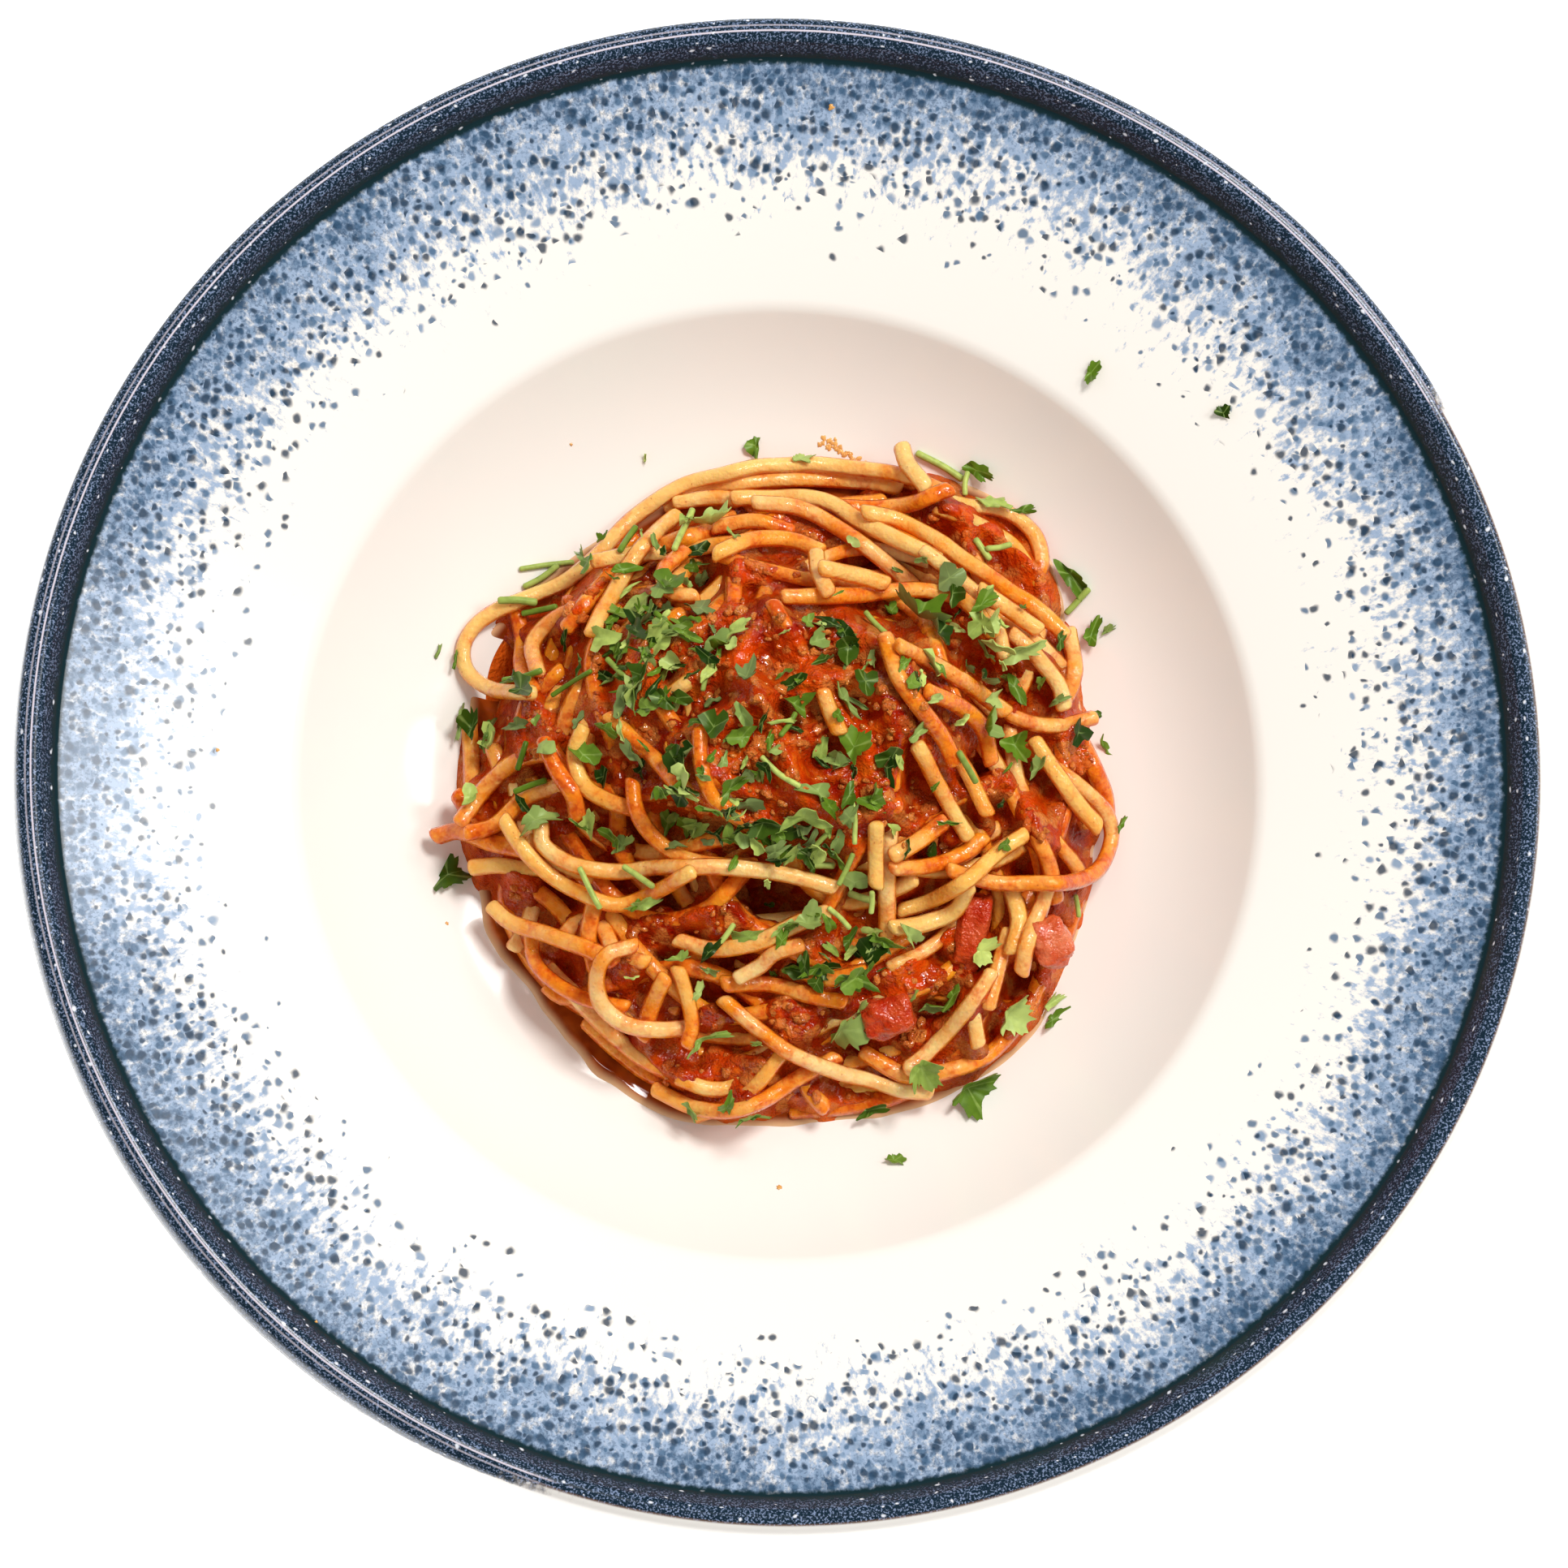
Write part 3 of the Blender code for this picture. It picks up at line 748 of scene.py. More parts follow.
@dataclass
class Plate:
    """The turned stoneware plate: foot ring, deep well, sloping flange and rounded lip."""

    rim_radius: float = 135.0
    rim_height: float = 40.5
    crest_radius: float = 131.9
    crest_height: float = 47.0
    lip_round: float = 2.6
    lip_angle: float = math.radians(58.0)
    lip_fall: float = math.radians(-62.0)
    flange_angle: float = math.radians(20.5)
    valley_round: float = 2.0
    floor_radius: float = 48.0
    floor_height: float = 7.0
    wall_radius: float = 84.8
    well_depth: float = 18.5
    well_power: float = 2.4
    fold_round: float = 6.0
    thickness: float = 4.6
    foot_outer: float = 56.5
    foot_inner: float = 51.5
    turns: int = 288

    def well(self, radius: Array) -> Array:
        """Height of the well: the floor, then depth · t^power up the wall, t its share outwards."""
        share = (radius - self.floor_radius) / (self.wall_radius - self.floor_radius)
        return self.floor_height + self.well_depth * np.clip(share, 0.0, 1.0) ** self.well_power

    @staticmethod
    def _bend(start: Array, heading: float, turn_to: float, radius: float, count: int) -> Array:
        """Points on an arc that leaves start at one heading and ends at another."""
        side = 1.0 if turn_to < heading else -1.0
        centre = start + side * radius * np.array([math.sin(heading), -math.cos(heading)])
        angle = np.linspace(heading, turn_to, count + 1)[1:]
        return centre + side * radius * np.stack([-np.sin(angle), np.cos(angle)], axis=1)

    def top(self) -> Array:
        """The upper outline, from the axis over the lip to the rim, radius and height a row."""
        r = np.concatenate([np.linspace(0.0, self.floor_radius, 13), np.linspace(self.floor_radius, self.wall_radius, 41)[1:]])
        line = np.stack([r, self.well(r)], axis=1)
        steep = math.atan(self.well_depth * self.well_power / (self.wall_radius - self.floor_radius))
        fold = self._bend(line[-1], steep, self.flange_angle, self.fold_round, 10)
        crest = np.array([self.crest_radius, self.crest_height])
        drop = np.array([-math.sin(self.lip_angle), math.cos(self.lip_angle) - 1.0])
        lip = crest + self.lip_round * drop
        turn = np.array(
            [
                math.sin(self.lip_angle) - math.sin(self.flange_angle),
                math.cos(self.flange_angle) - math.cos(self.lip_angle),
            ]
        )
        run, rise = lip - self.valley_round * turn - fold[-1]
        slope = math.tan(self.flange_angle)
        lip_run = (rise - slope * run) / (math.tan(self.lip_angle) - slope)
        flat = np.linspace(0.0, run - lip_run, 34)[1:, None] * np.array([1.0, slope]) + fold[-1]
        valley = self._bend(flat[-1], self.flange_angle, self.lip_angle, self.valley_round, 6)
        over = self._bend(lip, self.lip_angle, self.lip_fall, self.lip_round, 14)
        rim = np.array([[self.rim_radius - 0.25, self.rim_height + 1.6], [self.rim_radius, self.rim_height]])
        return np.vstack([line, fold, flat, valley, lip[None], over, rim])

    def underside(self, top: Array) -> Array:
        """The lower outline, from the rim back to the axis: the wall's offset, then the foot."""
        wall = top[(top[:, 0] > self.foot_outer + 3.0) & (top[:, 0] < self.crest_radius - self.lip_round)]
        along = np.diff(wall, axis=0)
        along /= np.linalg.norm(along, axis=1, keepdims=True)
        under = (wall[1:] + wall[:-1]) / 2 + self.thickness * np.stack([along[:, 1], -along[:, 0]], axis=1)
        under = under[under[:, 0] > self.foot_outer + 1.5][::-1]
        foot_top = float(self.well(np.array(self.foot_outer))) - self.thickness
        recess = self.floor_height - self.thickness
        edge = 0.6
        foot = [
            (self.foot_outer + edge, foot_top),
            (self.foot_outer, edge),
            (self.foot_outer - edge * 0.3, edge * 0.3),
            (self.foot_outer - edge, 0.0),
            (self.foot_inner + edge, 0.0),
            (self.foot_inner + edge * 0.3, edge * 0.3),
            (self.foot_inner, edge),
            (self.foot_inner - edge, recess),
            (0.0, recess),
        ]
        rim = [(self.rim_radius - 0.2, self.rim_height - 0.8), (self.rim_radius - 0.8, self.rim_height - 1.5)]
        return np.vstack([rim, under, foot])

    def surface_height(self, radius: Array) -> Array:
        """Height of the upper side at any radius."""
        outline = self.top()
        return np.interp(radius, outline[:, 0], outline[:, 1])

    def build(self) -> bpy.types.Object:
        """Turn the outline about the axis: x = r · cos a, y = r · sin a."""
        top = self.top()
        outline = np.vstack([top[1:], self.underside(top)[:-1]])
        turn = np.linspace(0.0, 2.0 * math.pi, self.turns, endpoint=False)
        x = outline[:, :1] * np.cos(turn)
        y = outline[:, :1] * np.sin(turn)
        z = np.broadcast_to(outline[:, 1:], x.shape)
        ring = np.arange(self.turns)
        poles = np.array([[0.0, 0.0, self.floor_height], [0.0, 0.0, self.floor_height - self.thickness]])
        points = np.vstack([np.stack([x, y, z], -1).reshape(-1, 3), poles])
        rows = len(outline)
        centre = rows * self.turns
        caps = np.vstack([fan(centre, ring, False), fan(centre + 1, ring + (rows - 1) * self.turns, True)])
        quads = grid_quads(rows, self.turns, True)[:, ::-1]
        upper = np.concatenate([np.repeat(np.arange(rows) < len(top) - 1, self.turns), [True, False]])
        return make_object("plate_glazed", points, [quads, caps], {"upper": upper}, 50.0)


# ---------------------------------------------------------------------------------------------
# The heap and the ground that everything comes to rest on
# ---------------------------------------------------------------------------------------------


@dataclass
class Heap:
    """The heap's form: an uneven outline, a broad lower tier and a smaller one twirled on it."""

    plate: Plate
    centre: tuple[float, float] = (2.4, 0.5)
    radius: float = 61.2
    edge: float = 3.0
    lower: float = 22.0
    upper: float = 16.0
    upper_centre: tuple[float, float] = (0.0, 10.0)
    upper_width: float = 41.0
    upper_depth: float = 33.0

    def reach(self, angle: Array) -> Array:
        """Distance from the centre to the outline: the radius and four ripples."""
        return (
            self.radius
            + 0.9 * np.cos(2.0 * angle - 2.7)
            + 2.6 * np.cos(3.0 * angle - 2.8)
            + 1.4 * np.cos(4.0 * angle + 2.3)
            + 0.9 * np.cos(7.0 * angle + 0.4)
        )

    def polar(self, x: Array, y: Array) -> tuple[Array, Array]:
        """Distance and angle from the heap's centre."""
        return np.hypot(x - self.centre[0], y - self.centre[1]), np.arctan2(y - self.centre[1], x - self.centre[0])

    def height(self, x: Array, y: Array) -> Array:
        """Rise of the heap over the plate: two rounded tiers, nothing outside the outline."""
        distance, angle = self.polar(x, y)
        out = np.clip(distance / self.reach(angle), 0.0, 1.0)
        across = (x - self.upper_centre[0]) / self.upper_width
        along = (y - self.upper_centre[1]) / self.upper_depth
        upper = np.clip(1.0 - np.hypot(across, along) ** 2.6, 0.0, None) ** 1.5
        lower = (1.0 - out**2.6) ** 0.8
        return np.where(out < 1.0, self.edge + self.lower * lower + self.upper * upper, 0.0)

    def filled(self, x: Array, y: Array) -> Array:
        """Height of the plate and heap together, with the gap at the left and the front crevice."""
        rise = self.height(x, y) - 6.0 * ease(1.35, 0.5, self.crevice(x, y))
        rise = rise * ease(0.7, 1.5, self.gap(x, y))
        return self.plate.surface_height(np.hypot(x, y)) + np.clip(rise, 0.0, None)

    @staticmethod
    def crevice(x: Array, y: Array) -> Array:
        """Share of the way out of the dark hollow under the upper tier's near edge."""
        return np.hypot((x + 2.0) / 12.0, (y + 20.4 + 0.1 * x) / 2.6)

    @staticmethod
    def gap(x: Array, y: Array) -> Array:
        """Share of the way out of the bare gap inside the hairpin strand, 1 at its edge."""
        return np.hypot((x + 50.5) / 6.4, (y - 23.0) / 5.6)

    def drawn_in(self, path: Array, margin: float) -> Array:
        """A path kept inside the outline: beyond 0.8 of the way out its radius is squeezed."""
        distance, angle = self.polar(path[:, 0], path[:, 1])
        limit = self.reach(angle) - margin
        soft = 0.8 * limit
        over = np.clip(distance - soft, 0.0, None)
        kept = np.where(distance > soft, soft + (limit - soft) * np.tanh(over / (limit - soft)), distance)
        return np.stack([self.centre[0] + kept * np.cos(angle), self.centre[1] + kept * np.sin(angle)], axis=1)


@dataclass
class Ground:
    """Height of all that lies on the plate so far, on a square grid round the heap."""

    plate: Plate
    half: float = 88.0
    cell: float = 0.45
    heights: Array = field(init=False)
    x: Array = field(init=False)
    y: Array = field(init=False)

    def __post_init__(self) -> None:
        axis = np.arange(-self.half, self.half + self.cell / 2, self.cell)
        self.x, self.y = np.meshgrid(axis, axis, indexing="ij")
        self.heights = self.plate.surface_height(np.hypot(self.x, self.y))

    def _under(self, x: Array, y: Array, radius: float) -> tuple[Array, Array, Array]:
        """Grid cells under a ball at each point, and the ball's half-thickness over each."""
        reach = int(math.ceil(radius / self.cell))
        steps = np.arange(-reach, reach + 1)
        i = np.rint((x + self.half) / self.cell).astype(int)[:, None, None] + steps[:, None]
        j = np.rint((y + self.half) / self.cell).astype(int)[:, None, None] + steps[None, :]
        i, j = np.broadcast_arrays(np.clip(i, 0, len(self.x) - 1), np.clip(j, 0, len(self.x) - 1))
        away = (self.x[i, 0] - x[:, None, None]) ** 2 + (self.y[0, j] - y[:, None, None]) ** 2
        half = np.sqrt(np.clip(radius**2 - away, 0.0, None))
        return i, j, np.where(away < radius**2, half, -np.inf)

    def rest(self, x: Array, y: Array, radius: float) -> Array:
        """Height of a ball's centre at rest: the highest of ground + sqrt(radius² - distance²)."""
        i, j, half = self._under(x, y, radius)
        return (self.heights[i, j] + half).max(axis=(1, 2))

    def stamp(self, x: Array, y: Array, z: Array, radius: float) -> None:
        """Raise the ground to the top of balls at these centres."""
        i, j, half = self._under(x, y, radius)
        np.maximum.at(self.heights, (i.ravel(), j.ravel()), (z[:, None, None] + half).ravel())

    def sample(self, x: Array, y: Array, grid: Array | None = None) -> Array:
        """A grid's value between its points, blended from the four around."""
        grid = self.heights if grid is None else grid
        gx = np.clip((x + self.half) / self.cell, 0.0, len(grid) - 1.001)
        gy = np.clip((y + self.half) / self.cell, 0.0, len(grid) - 1.001)
        i, j = gx.astype(int), gy.astype(int)
        u, v = gx - i, gy - j
        low = grid[i, j] * (1 - u) + grid[i + 1, j] * u
        high = grid[i, j + 1] * (1 - u) + grid[i + 1, j + 1] * u
        return low * (1 - v) + high * v


# Paths and places on the food are given as the diner's eye reads them on a level plane. What lies
# higher is carried along the line of sight, which leans this far for each millimetre up.
READ_LEVEL = 28.0
SIGHT = np.array([-0.061, -0.148])


def carried(flat: Array, height: Array) -> Array:
    """Places read on the level plane, moved along the line of sight to their real height."""
    return flat + (height - READ_LEVEL)[:, None] * SIGHT


@dataclass(frozen=True)
class Patch:
    """A stretch of meat sauce: where it lies as the diner reads it, its half sizes and turn."""

    x: float
    y: float
    along: float
    across: float
    turn: float = 0.0
    depth: float = 1.0


SAUCE_PATCHES = (
    Patch(7, 9, 25, 23, 0.3, 1.5),
    Patch(-6, 22, 14, 10, 0.0, 1.2),
    Patch(24, 0, 9, 12, 0.0, 1.1),
    Patch(-14, 2, 9, 10, 0.0, 0.9),
    Patch(6, 45, 9, 4.5, -0.1),
    Patch(-3, 38, 9, 4, 0.2, 0.9),
    Patch(19, 53.5, 5, 2.6),
    Patch(29.5, 54.5, 5, 2.2, -0.3),
    Patch(30, 48, 6, 4.5, -0.5),
    Patch(41, 39.5, 13, 4.2, -0.6),
    Patch(47, 34, 6, 4.5, -0.4),
    Patch(35, 25, 5.5, 4.5, -0.5),
    Patch(31, 30.5, 3.5, 2.2),
    Patch(42, 17, 3.2, 6),
    Patch(31, 6, 4.5, 5),
    Patch(38.5, -2, 3.2, 4),
    Patch(47.5, -6, 5, 8),
    Patch(53, 5, 3, 5),
    Patch(52.5, -23, 4.5, 4),
    Patch(47.5, -33, 4.5, 5.5),
    Patch(42.5, -43.5, 4, 6, -0.3),
    Patch(28.5, -11, 4, 6, 0.2),
    Patch(23, -36, 7, 4, 0.1),
    Patch(31.5, -31, 3, 6),
    Patch(21, -45, 6, 4),
    Patch(2.5, -44, 5.5, 5, 0.0, 1.2),
    Patch(9, -28.5, 8, 3.5, 0.1, 0.8),
    Patch(-12, -26, 8, 3.6, 0.1, 1.1),
    Patch(-22, -28.5, 6, 4, -0.6),
    Patch(-12, -43, 4, 3),
    Patch(-19, -51, 4, 5, -0.3),
    Patch(-10, -51.5, 7, 2.8, 0.1),
    Patch(8, -57.5, 9, 2.4, 0.1, 0.6),
    Patch(-46, -20, 4.5, 3.4, 0.0, 0.8),
    Patch(-28, -36, 4.5, 3, -0.4, 0.9),
    Patch(-34, 33, 6, 4, 0.7, 0.7),
    Patch(-23, 33, 4.5, 6, -0.2, 0.9),
    Patch(-45, 9, 6, 7, 0.0, 0.8),
    Patch(-27, 19, 8, 13, 0.2, 1.0),
    Patch(-24, 2, 9, 8, 0.0, 0.9),
    Patch(-20, 5, 8, 7, 0.0, 0.9),
    Patch(-38, -7, 3, 4.5, -0.2),
    Patch(-30, -11, 6, 3.5, -0.2, 0.7),
)


def cover_at(x: Array, y: Array, z: Array) -> Array:
    """How thickly sauce is heaped at each place: the deepest of the patches there."""
    flat_x = x - (z - READ_LEVEL) * SIGHT[0] + 1.6 * soft_noise(x, y, 4.0, 5)
    flat_y = y - (z - READ_LEVEL) * SIGHT[1] + 1.6 * soft_noise(x, y, 4.0, 6)
    depth = np.zeros_like(x)
    for patch in SAUCE_PATCHES:
        dx, dy = flat_x - patch.x, flat_y - patch.y
        cos, sin = math.cos(patch.turn), math.sin(patch.turn)
        along = (dx * cos + dy * sin) / patch.along
        across = (dy * cos - dx * sin) / patch.across
        depth = np.maximum(depth, patch.depth * ease(1.3, 0.55, np.hypot(along, across)))
    return depth


@dataclass
class Strand:
    """One piece of spaghetti, given by a few points that it passes."""

    path: Array
    sauce: float
    radius: float = 1.36
    stiffness: int = 40
    sides: int = 8
    step: float = 1.15
    read: bool = True
    sunk: float = 0.0

    def lay(self, ground: Ground) -> Array:
        """Let the strand down on the ground and leave its print there.

        It touches the highest ground under it and, being stiff, bridges the hollows: its height is
        smoothed again and again, never going below what it rests on.

        Returns:
            The centre line, one point a row.
        """
        flat = through(self.path, self.step)
        run = np.arange(len(flat)) * self.step
        sway = [soft_noise(run, np.full(len(run), 90.0 * start), 8.0, 31) for start in self.path[0]]
        flat = flat + 0.4 * np.stack(sway, axis=1)
        place = flat
        height = ground.rest(place[:, 0], place[:, 1], self.radius)
        for _ in range(2 if self.read else 1):
            place = carried(flat, self._settled(height)) if self.read else flat
            height = ground.rest(place[:, 0], place[:, 1], self.radius) - self.sunk
        height = self._settled(height)
        ground.stamp(place[:, 0], place[:, 1], height, self.radius)
        return np.column_stack([place, height])

    def _settled(self, support: Array) -> Array:
        """Heights bridged over hollows."""
        height = support
        for _ in range(self.stiffness):
            ends = np.pad(height, 1, mode="edge")
            height = np.maximum(support, (ends[:-2] + 2.0 * ends[1:-1] + ends[2:]) / 4.0)
        return height

    def add_to(self, pile: MeshPile, line: Array, rng: np.random.Generator) -> None:
        """Add the strand's rod to a mesh, its width and sauce drifting along it."""
        drift = 0.22 * soft_noise(np.arange(len(line)) * 1.0, np.full(len(line), rng.uniform(0, 99)), 9.0, 4)
        buried = 0.25 * np.clip(cover_at(line[:, 0], line[:, 1], line[:, 2]), 0.0, 1.0)
        sauce = np.clip(self.sauce + drift + buried + 0.08 * rng.normal(), 0.0, 1.0)
        swell = soft_noise(np.arange(len(line)) * 1.0, np.full(len(line), rng.uniform(0, 99)), 7.0, 14)
        width = self.radius * (1.0 + 0.09 * swell)
        slants = tuple(rng.uniform(-0.5, 0.5, 2))
        flat = rng.uniform(0.06, 0.18)
        add_tube(pile, line, width, self.sides, flat, slants, sauce=sauce, tint=rng.uniform(0.0, 1.0))


# The strands that can be told apart, lowest first: how much sauce clings to each, and the points
# it passes as the diner reads them.
LOWER_STRANDS: tuple[tuple[float, tuple[tuple[float, float], ...]], ...] = (
    (0.7, ((-47, 30), (-46, 25), (-46, 20), (-44, 16))),
    (0.4, ((-36, 31), (-41, 28), (-44, 24), (-43, 19))),
    (0.6, ((-27, 40), (-31, 36), (-35, 31), (-38, 27))),
    (0.8, ((-58, -3), (-54, -9), (-49, -12), (-42, -13))),
    (0.6, ((-62, -10.5), (-57, -9.3), (-51, -11.5), (-45, -13))),
    (0.6, ((-41, 4.5), (-47, 3), (-53, -2), (-57, -8))),
    (0.5, ((-38, -0.5), (-45, -3.5), (-51, -8), (-56, -9.5))),
    (0.3, ((-55.5, -16), (-50, -15.3), (-44, -15.5), (-38, -17))),
    (0.5, ((-39, -28.5), (-36, -25.5), (-32, -26), (-30, -30))),
    (0.4, ((-33, -22), (-34, -28), (-33, -34))),
    (0.5, ((-45, -28), (-44, -33), (-40, -37), (-34, -39.8), (-28, -41))),
    (0.35, ((-21, -36), (-23, -40), (-25, -46))),
    (0.3, ((-18, -54), (-13, -56), (-9, -55.5), (-4, -52))),
    (0.3, ((0, -49.5), (-4, -54), (-9, -58), (-15, -60))),
    (0.4, ((-22.5, -56), (-16, -59.3), (-9, -59.6), (-2, -57), (4, -53), (9, -50))),
    (0.5, ((-8, -33.5), (0, -34.5), (8, -35.5), (14, -35))),
    (0.35, ((-10, -36.5), (-3, -37), (5, -38.5), (11, -40))),
    (0.3, ((40, -28), (38, -35), (36.5, -41))),
    (0.2, ((34, -39), (35, -47.5))),
    (0.25, ((37, -35), (33, -41.5), (27, -48.5), (22, -52))),
    (0.25, ((40, -18), (42, -25), (41, -31))),
    (0.5, ((44, -6), (46, -11), (48, -16), (49, -22))),
    (0.35, ((19, -34), (25, -31), (30, -27), (33, -23))),
    (0.3, ((19, -9), (18.5, -17), (18.5, -28))),
    (0.7, ((53.5, 9), (56, 3), (58.5, -3), (59, -8))),
    (0.35, ((52.5, 27), (53, 21), (52, 16), (50, 12))),
    (0.25, ((42, 26), (46, 22.5), (50, 17.5), (51, 13))),
    (0.3, ((56.5, 11), (51, 9.8), (46, 10), (41, 12))),
    (0.3, ((26, 52), (33, 50), (41, 49), (46, 45), (47.5, 40), (46, 36))),
    (0.35, ((29, 49), (36, 46.5), (42, 43), (45, 39))),
)
UPPER_STRANDS: tuple[tuple[float, tuple[tuple[float, float], ...]], ...] = (
    (0.3, ((-20, 50), (-11, 53.4), (-2, 54.7), (6, 55), (15, 54.5), (22, 53))),
    (0.12, ((30, 52), (22, 55.5), (12, 57), (3, 57.6), (-5, 57.2), (-17, 53.5), (-26, 48), (-33, 40.5), (-40, 35), (-51, 31), (-56.5, 25.5), (-56.3, 19.5), (-51, 15.7), (-44, 15.5))),
    (0.2, ((-18, 50.5), (-12, 51.3), (-7, 50.8))),
    (0.25, ((22.5, 60.5), (23.5, 57), (26.5, 53))),
    (0.3, ((-33, 39), (-27, 40.2), (-21, 41))),
    (0.2, ((-18, 48), (-22, 44.5), (-26.5, 39), (-31, 30.5), (-33, 26))),
    (0.4, ((12, 49.5), (18, 49.4), (25, 50.6), (31, 53))),
    (0.4, ((-11, 45.5), (-4, 46.6), (2, 45))),
    (0.5, ((-11, 40), (-5, 42.6), (2, 43), (7, 41))),
    (0.2, ((-8, 51), (-1, 51.5), (4, 51.4), (10, 49.8), (15, 46.8), (22, 43.2), (28.5, 40))),
    (0.3, ((16, 48), (21, 47.2), (27, 44), (34, 39), (41, 34.7), (47, 31), (51.5, 26.5))),
    (0.25, ((-4, 49.8), (3, 49.2), (9, 46.7), (16, 42), (21.5, 37.6), (25, 34.5))),
    (0.3, ((26, 41), (32, 36.7), (36.5, 32.5), (39, 27), (40, 22.5))),
    (0.2, ((36, 34), (41, 30.5), (46, 27))),
    (0.3, ((1, 32.3), (8, 32.5), (15, 33), (23, 34.3), (29, 33.8), (34, 31.6), (38, 26))),
    (0.3, ((7, 40.5), (7.3, 37), (9, 33))),
    (0.3, ((8, 37.8), (13, 36.6), (19, 35))),
    (0.5, ((-17, 41), (-20.5, 37.5), (-19, 33.5), (-15, 33))),
    (0.45, ((-30, 11), (-26, 7), (-22, 3.5), (-18, -1))),
    (0.25, ((-35, 9), (-36.5, 4), (-35, -1), (-31, -4), (-25, -6))),
    (0.7, ((-42, 7), (-40, 2), (-37, -3), (-36, -7))),
    (0.5, ((-14, 9), (-13.7, 3), (-12, -3), (-9, -6))),
    (0.45, ((-26, -1), (-25.5, -6), (-23, -10), (-18, -13.5), (-11, -15.3), (-5, -15.5))),
    (0.3, ((-44.5, -11.5), (-40, -15), (-34, -17.5))),
    (0.3, ((-42.5, -8.5), (-42, -12), (-37, -15.3), (-29, -16.6), (-20, -16), (-10, -15.6), (0, -16.8), (9, -19.3))),
    (0.3, ((-49, -7.5), (-46, -12), (-41, -17), (-35, -20.5), (-29, -22.3), (-22, -21), (-16.5, -18.5))),
    (0.3, ((-51.5, -23), (-48, -26), (-41, -28), (-35, -30), (-30, -33))),
    (0.2, ((-26, -29.5), (-31, -31.5), (-33, -35.5), (-32, -40.3), (-28, -43.7), (-22, -44.8), (-17.5, -44.6))),
    (0.35, ((-18, -34.5), (-16.5, -40), (-16, -44), (-17, -47.5))),
    (0.3, ((-8, -36), (-4, -33.5), (-1.5, -31), (3, -29.5))),
    (0.2, ((-18, -29), (-12, -30.6), (-5, -29.3), (3, -26), (8, -24))),
    (0.3, ((-10, -39.5), (-5, -44.5), (2, -49.3), (11, -53), (20, -55.8), (26.5, -56.3))),
    (0.45, ((20, -16), (26, -15.5), (33, -13.5), (36, -11))),
    (0.4, ((20, -13.5), (25, -11), (29, -8))),
    (0.15, ((16.6, -8.5), (16.5, -19.3))),
    (0.2, ((47.5, -18.5), (46, -24), (43.5, -30), (42.5, -34.5))),
    (0.35, ((30, -16.5), (36, -18.4), (42, -19), (51, -18.8), (57, -16.5), (59.7, -11), (58.5, -6), (54.5, -2), (49, 2), (44.5, 5.5))),
    (0.2, ((20, -26.5), (26, -26.2), (31, -24), (33.5, -19.5))),
    (0.2, ((43, -10), (38, -13.5), (33, -18), (27, -21.5), (21, -23.5))),
    (0.25, ((45.5, 7), (49, 1.5), (53, -4), (57, -8.5))),
)
CROWN_STRANDS: tuple[tuple[float, tuple[tuple[float, float], ...]], ...] = (
    (0.35, ((18.5, 25), (21, 18), (25, 12), (29, 7), (31, 3))),
    (0.3, ((21, 23), (28, 19.7), (35, 15.5), (40, 12))),
    (0.5, ((26, 15.5), (32, 12.8), (36, 9), (37.5, 3))),
    (0.25, ((8, 15.2), (9, 12), (10.5, 8.5))),
    (0.3, ((24, 5.5), (28, -1), (31, -6), (33.5, -10))),
)


@dataclass
class LooseStrands:
    """The strands underneath, in slack curves round the heap, laid one on another."""

    heap: Heap
    count: int
    spread: float
    lengths: tuple[float, float]
    bends: tuple[float, float]
    sauce: tuple[float, float]
    centre: tuple[float, float] = (0.0, 0.0)
    around: float = 0.6
    margin: float = 3.2
    below: float = 1.8

    def path(self, rng: np.random.Generator) -> Array:
        """A curve of slowly changing bend that mostly runs round the centre."""
        length, bend = rng.uniform(*self.lengths), rng.uniform(*self.bends)
        away, bearing = self.spread * math.sqrt(rng.uniform(0.02, 1.0)), rng.uniform(0.0, 2.0 * math.pi)
        middle = np.array(self.centre) + away * np.array([math.cos(bearing), math.sin(bearing)])
        turn = rng.choice((-1.0, 1.0)) if rng.uniform() > self.around else 1.0
        heading = bearing + math.pi / 2 + rng.normal(0.0, 0.5)
        share = np.linspace(-0.5, 0.5, max(5, int(length / 9)))
        direction = heading + turn * share * length / bend + 0.35 * np.sin(share * 9.0 + rng.uniform(0, 6))
        steps = np.stack([np.cos(direction), np.sin(direction)], axis=1) * length / len(share)
        curve = np.cumsum(steps, axis=0)
        return self.heap.drawn_in(curve - curve[len(curve) // 2] + middle, self.margin)

    def lay(self, ground: Ground, pile: MeshPile, rng: np.random.Generator) -> None:
        """Lay strands where the heap still lacks them.

        Of several paths tried for each strand, the one taken leaves the strand's top the furthest
        under the heap's surface, and none is laid once all would stand out of it.
        """
        for _ in range(self.count):
            tried = [through(self.path(rng), 4.0) for _ in range(9)]
            excess = [self._excess(path, ground) for path in tried]
            best = int(np.argmin(excess))
            if excess[best] > 0.0:
                continue
            strand = Strand(tried[best], rng.uniform(*self.sauce), read=False, sides=7, step=1.5)
            strand.add_to(pile, strand.lay(ground), rng)

    def _excess(self, path: Array, ground: Ground) -> float:
        """How far a strand on this path would stand over the height it may reach."""
        x, y = path[:, 0], path[:, 1]
        over = ground.sample(x, y) + 2.7 - (self.heap.filled(x, y) - self.below)
        barred = (self.heap.gap(x, y) < 1.3).any() or (self.heap.crevice(x, y) < 0.75).any()
        return float(np.percentile(over, 80)) + 20.0 * float(barred)


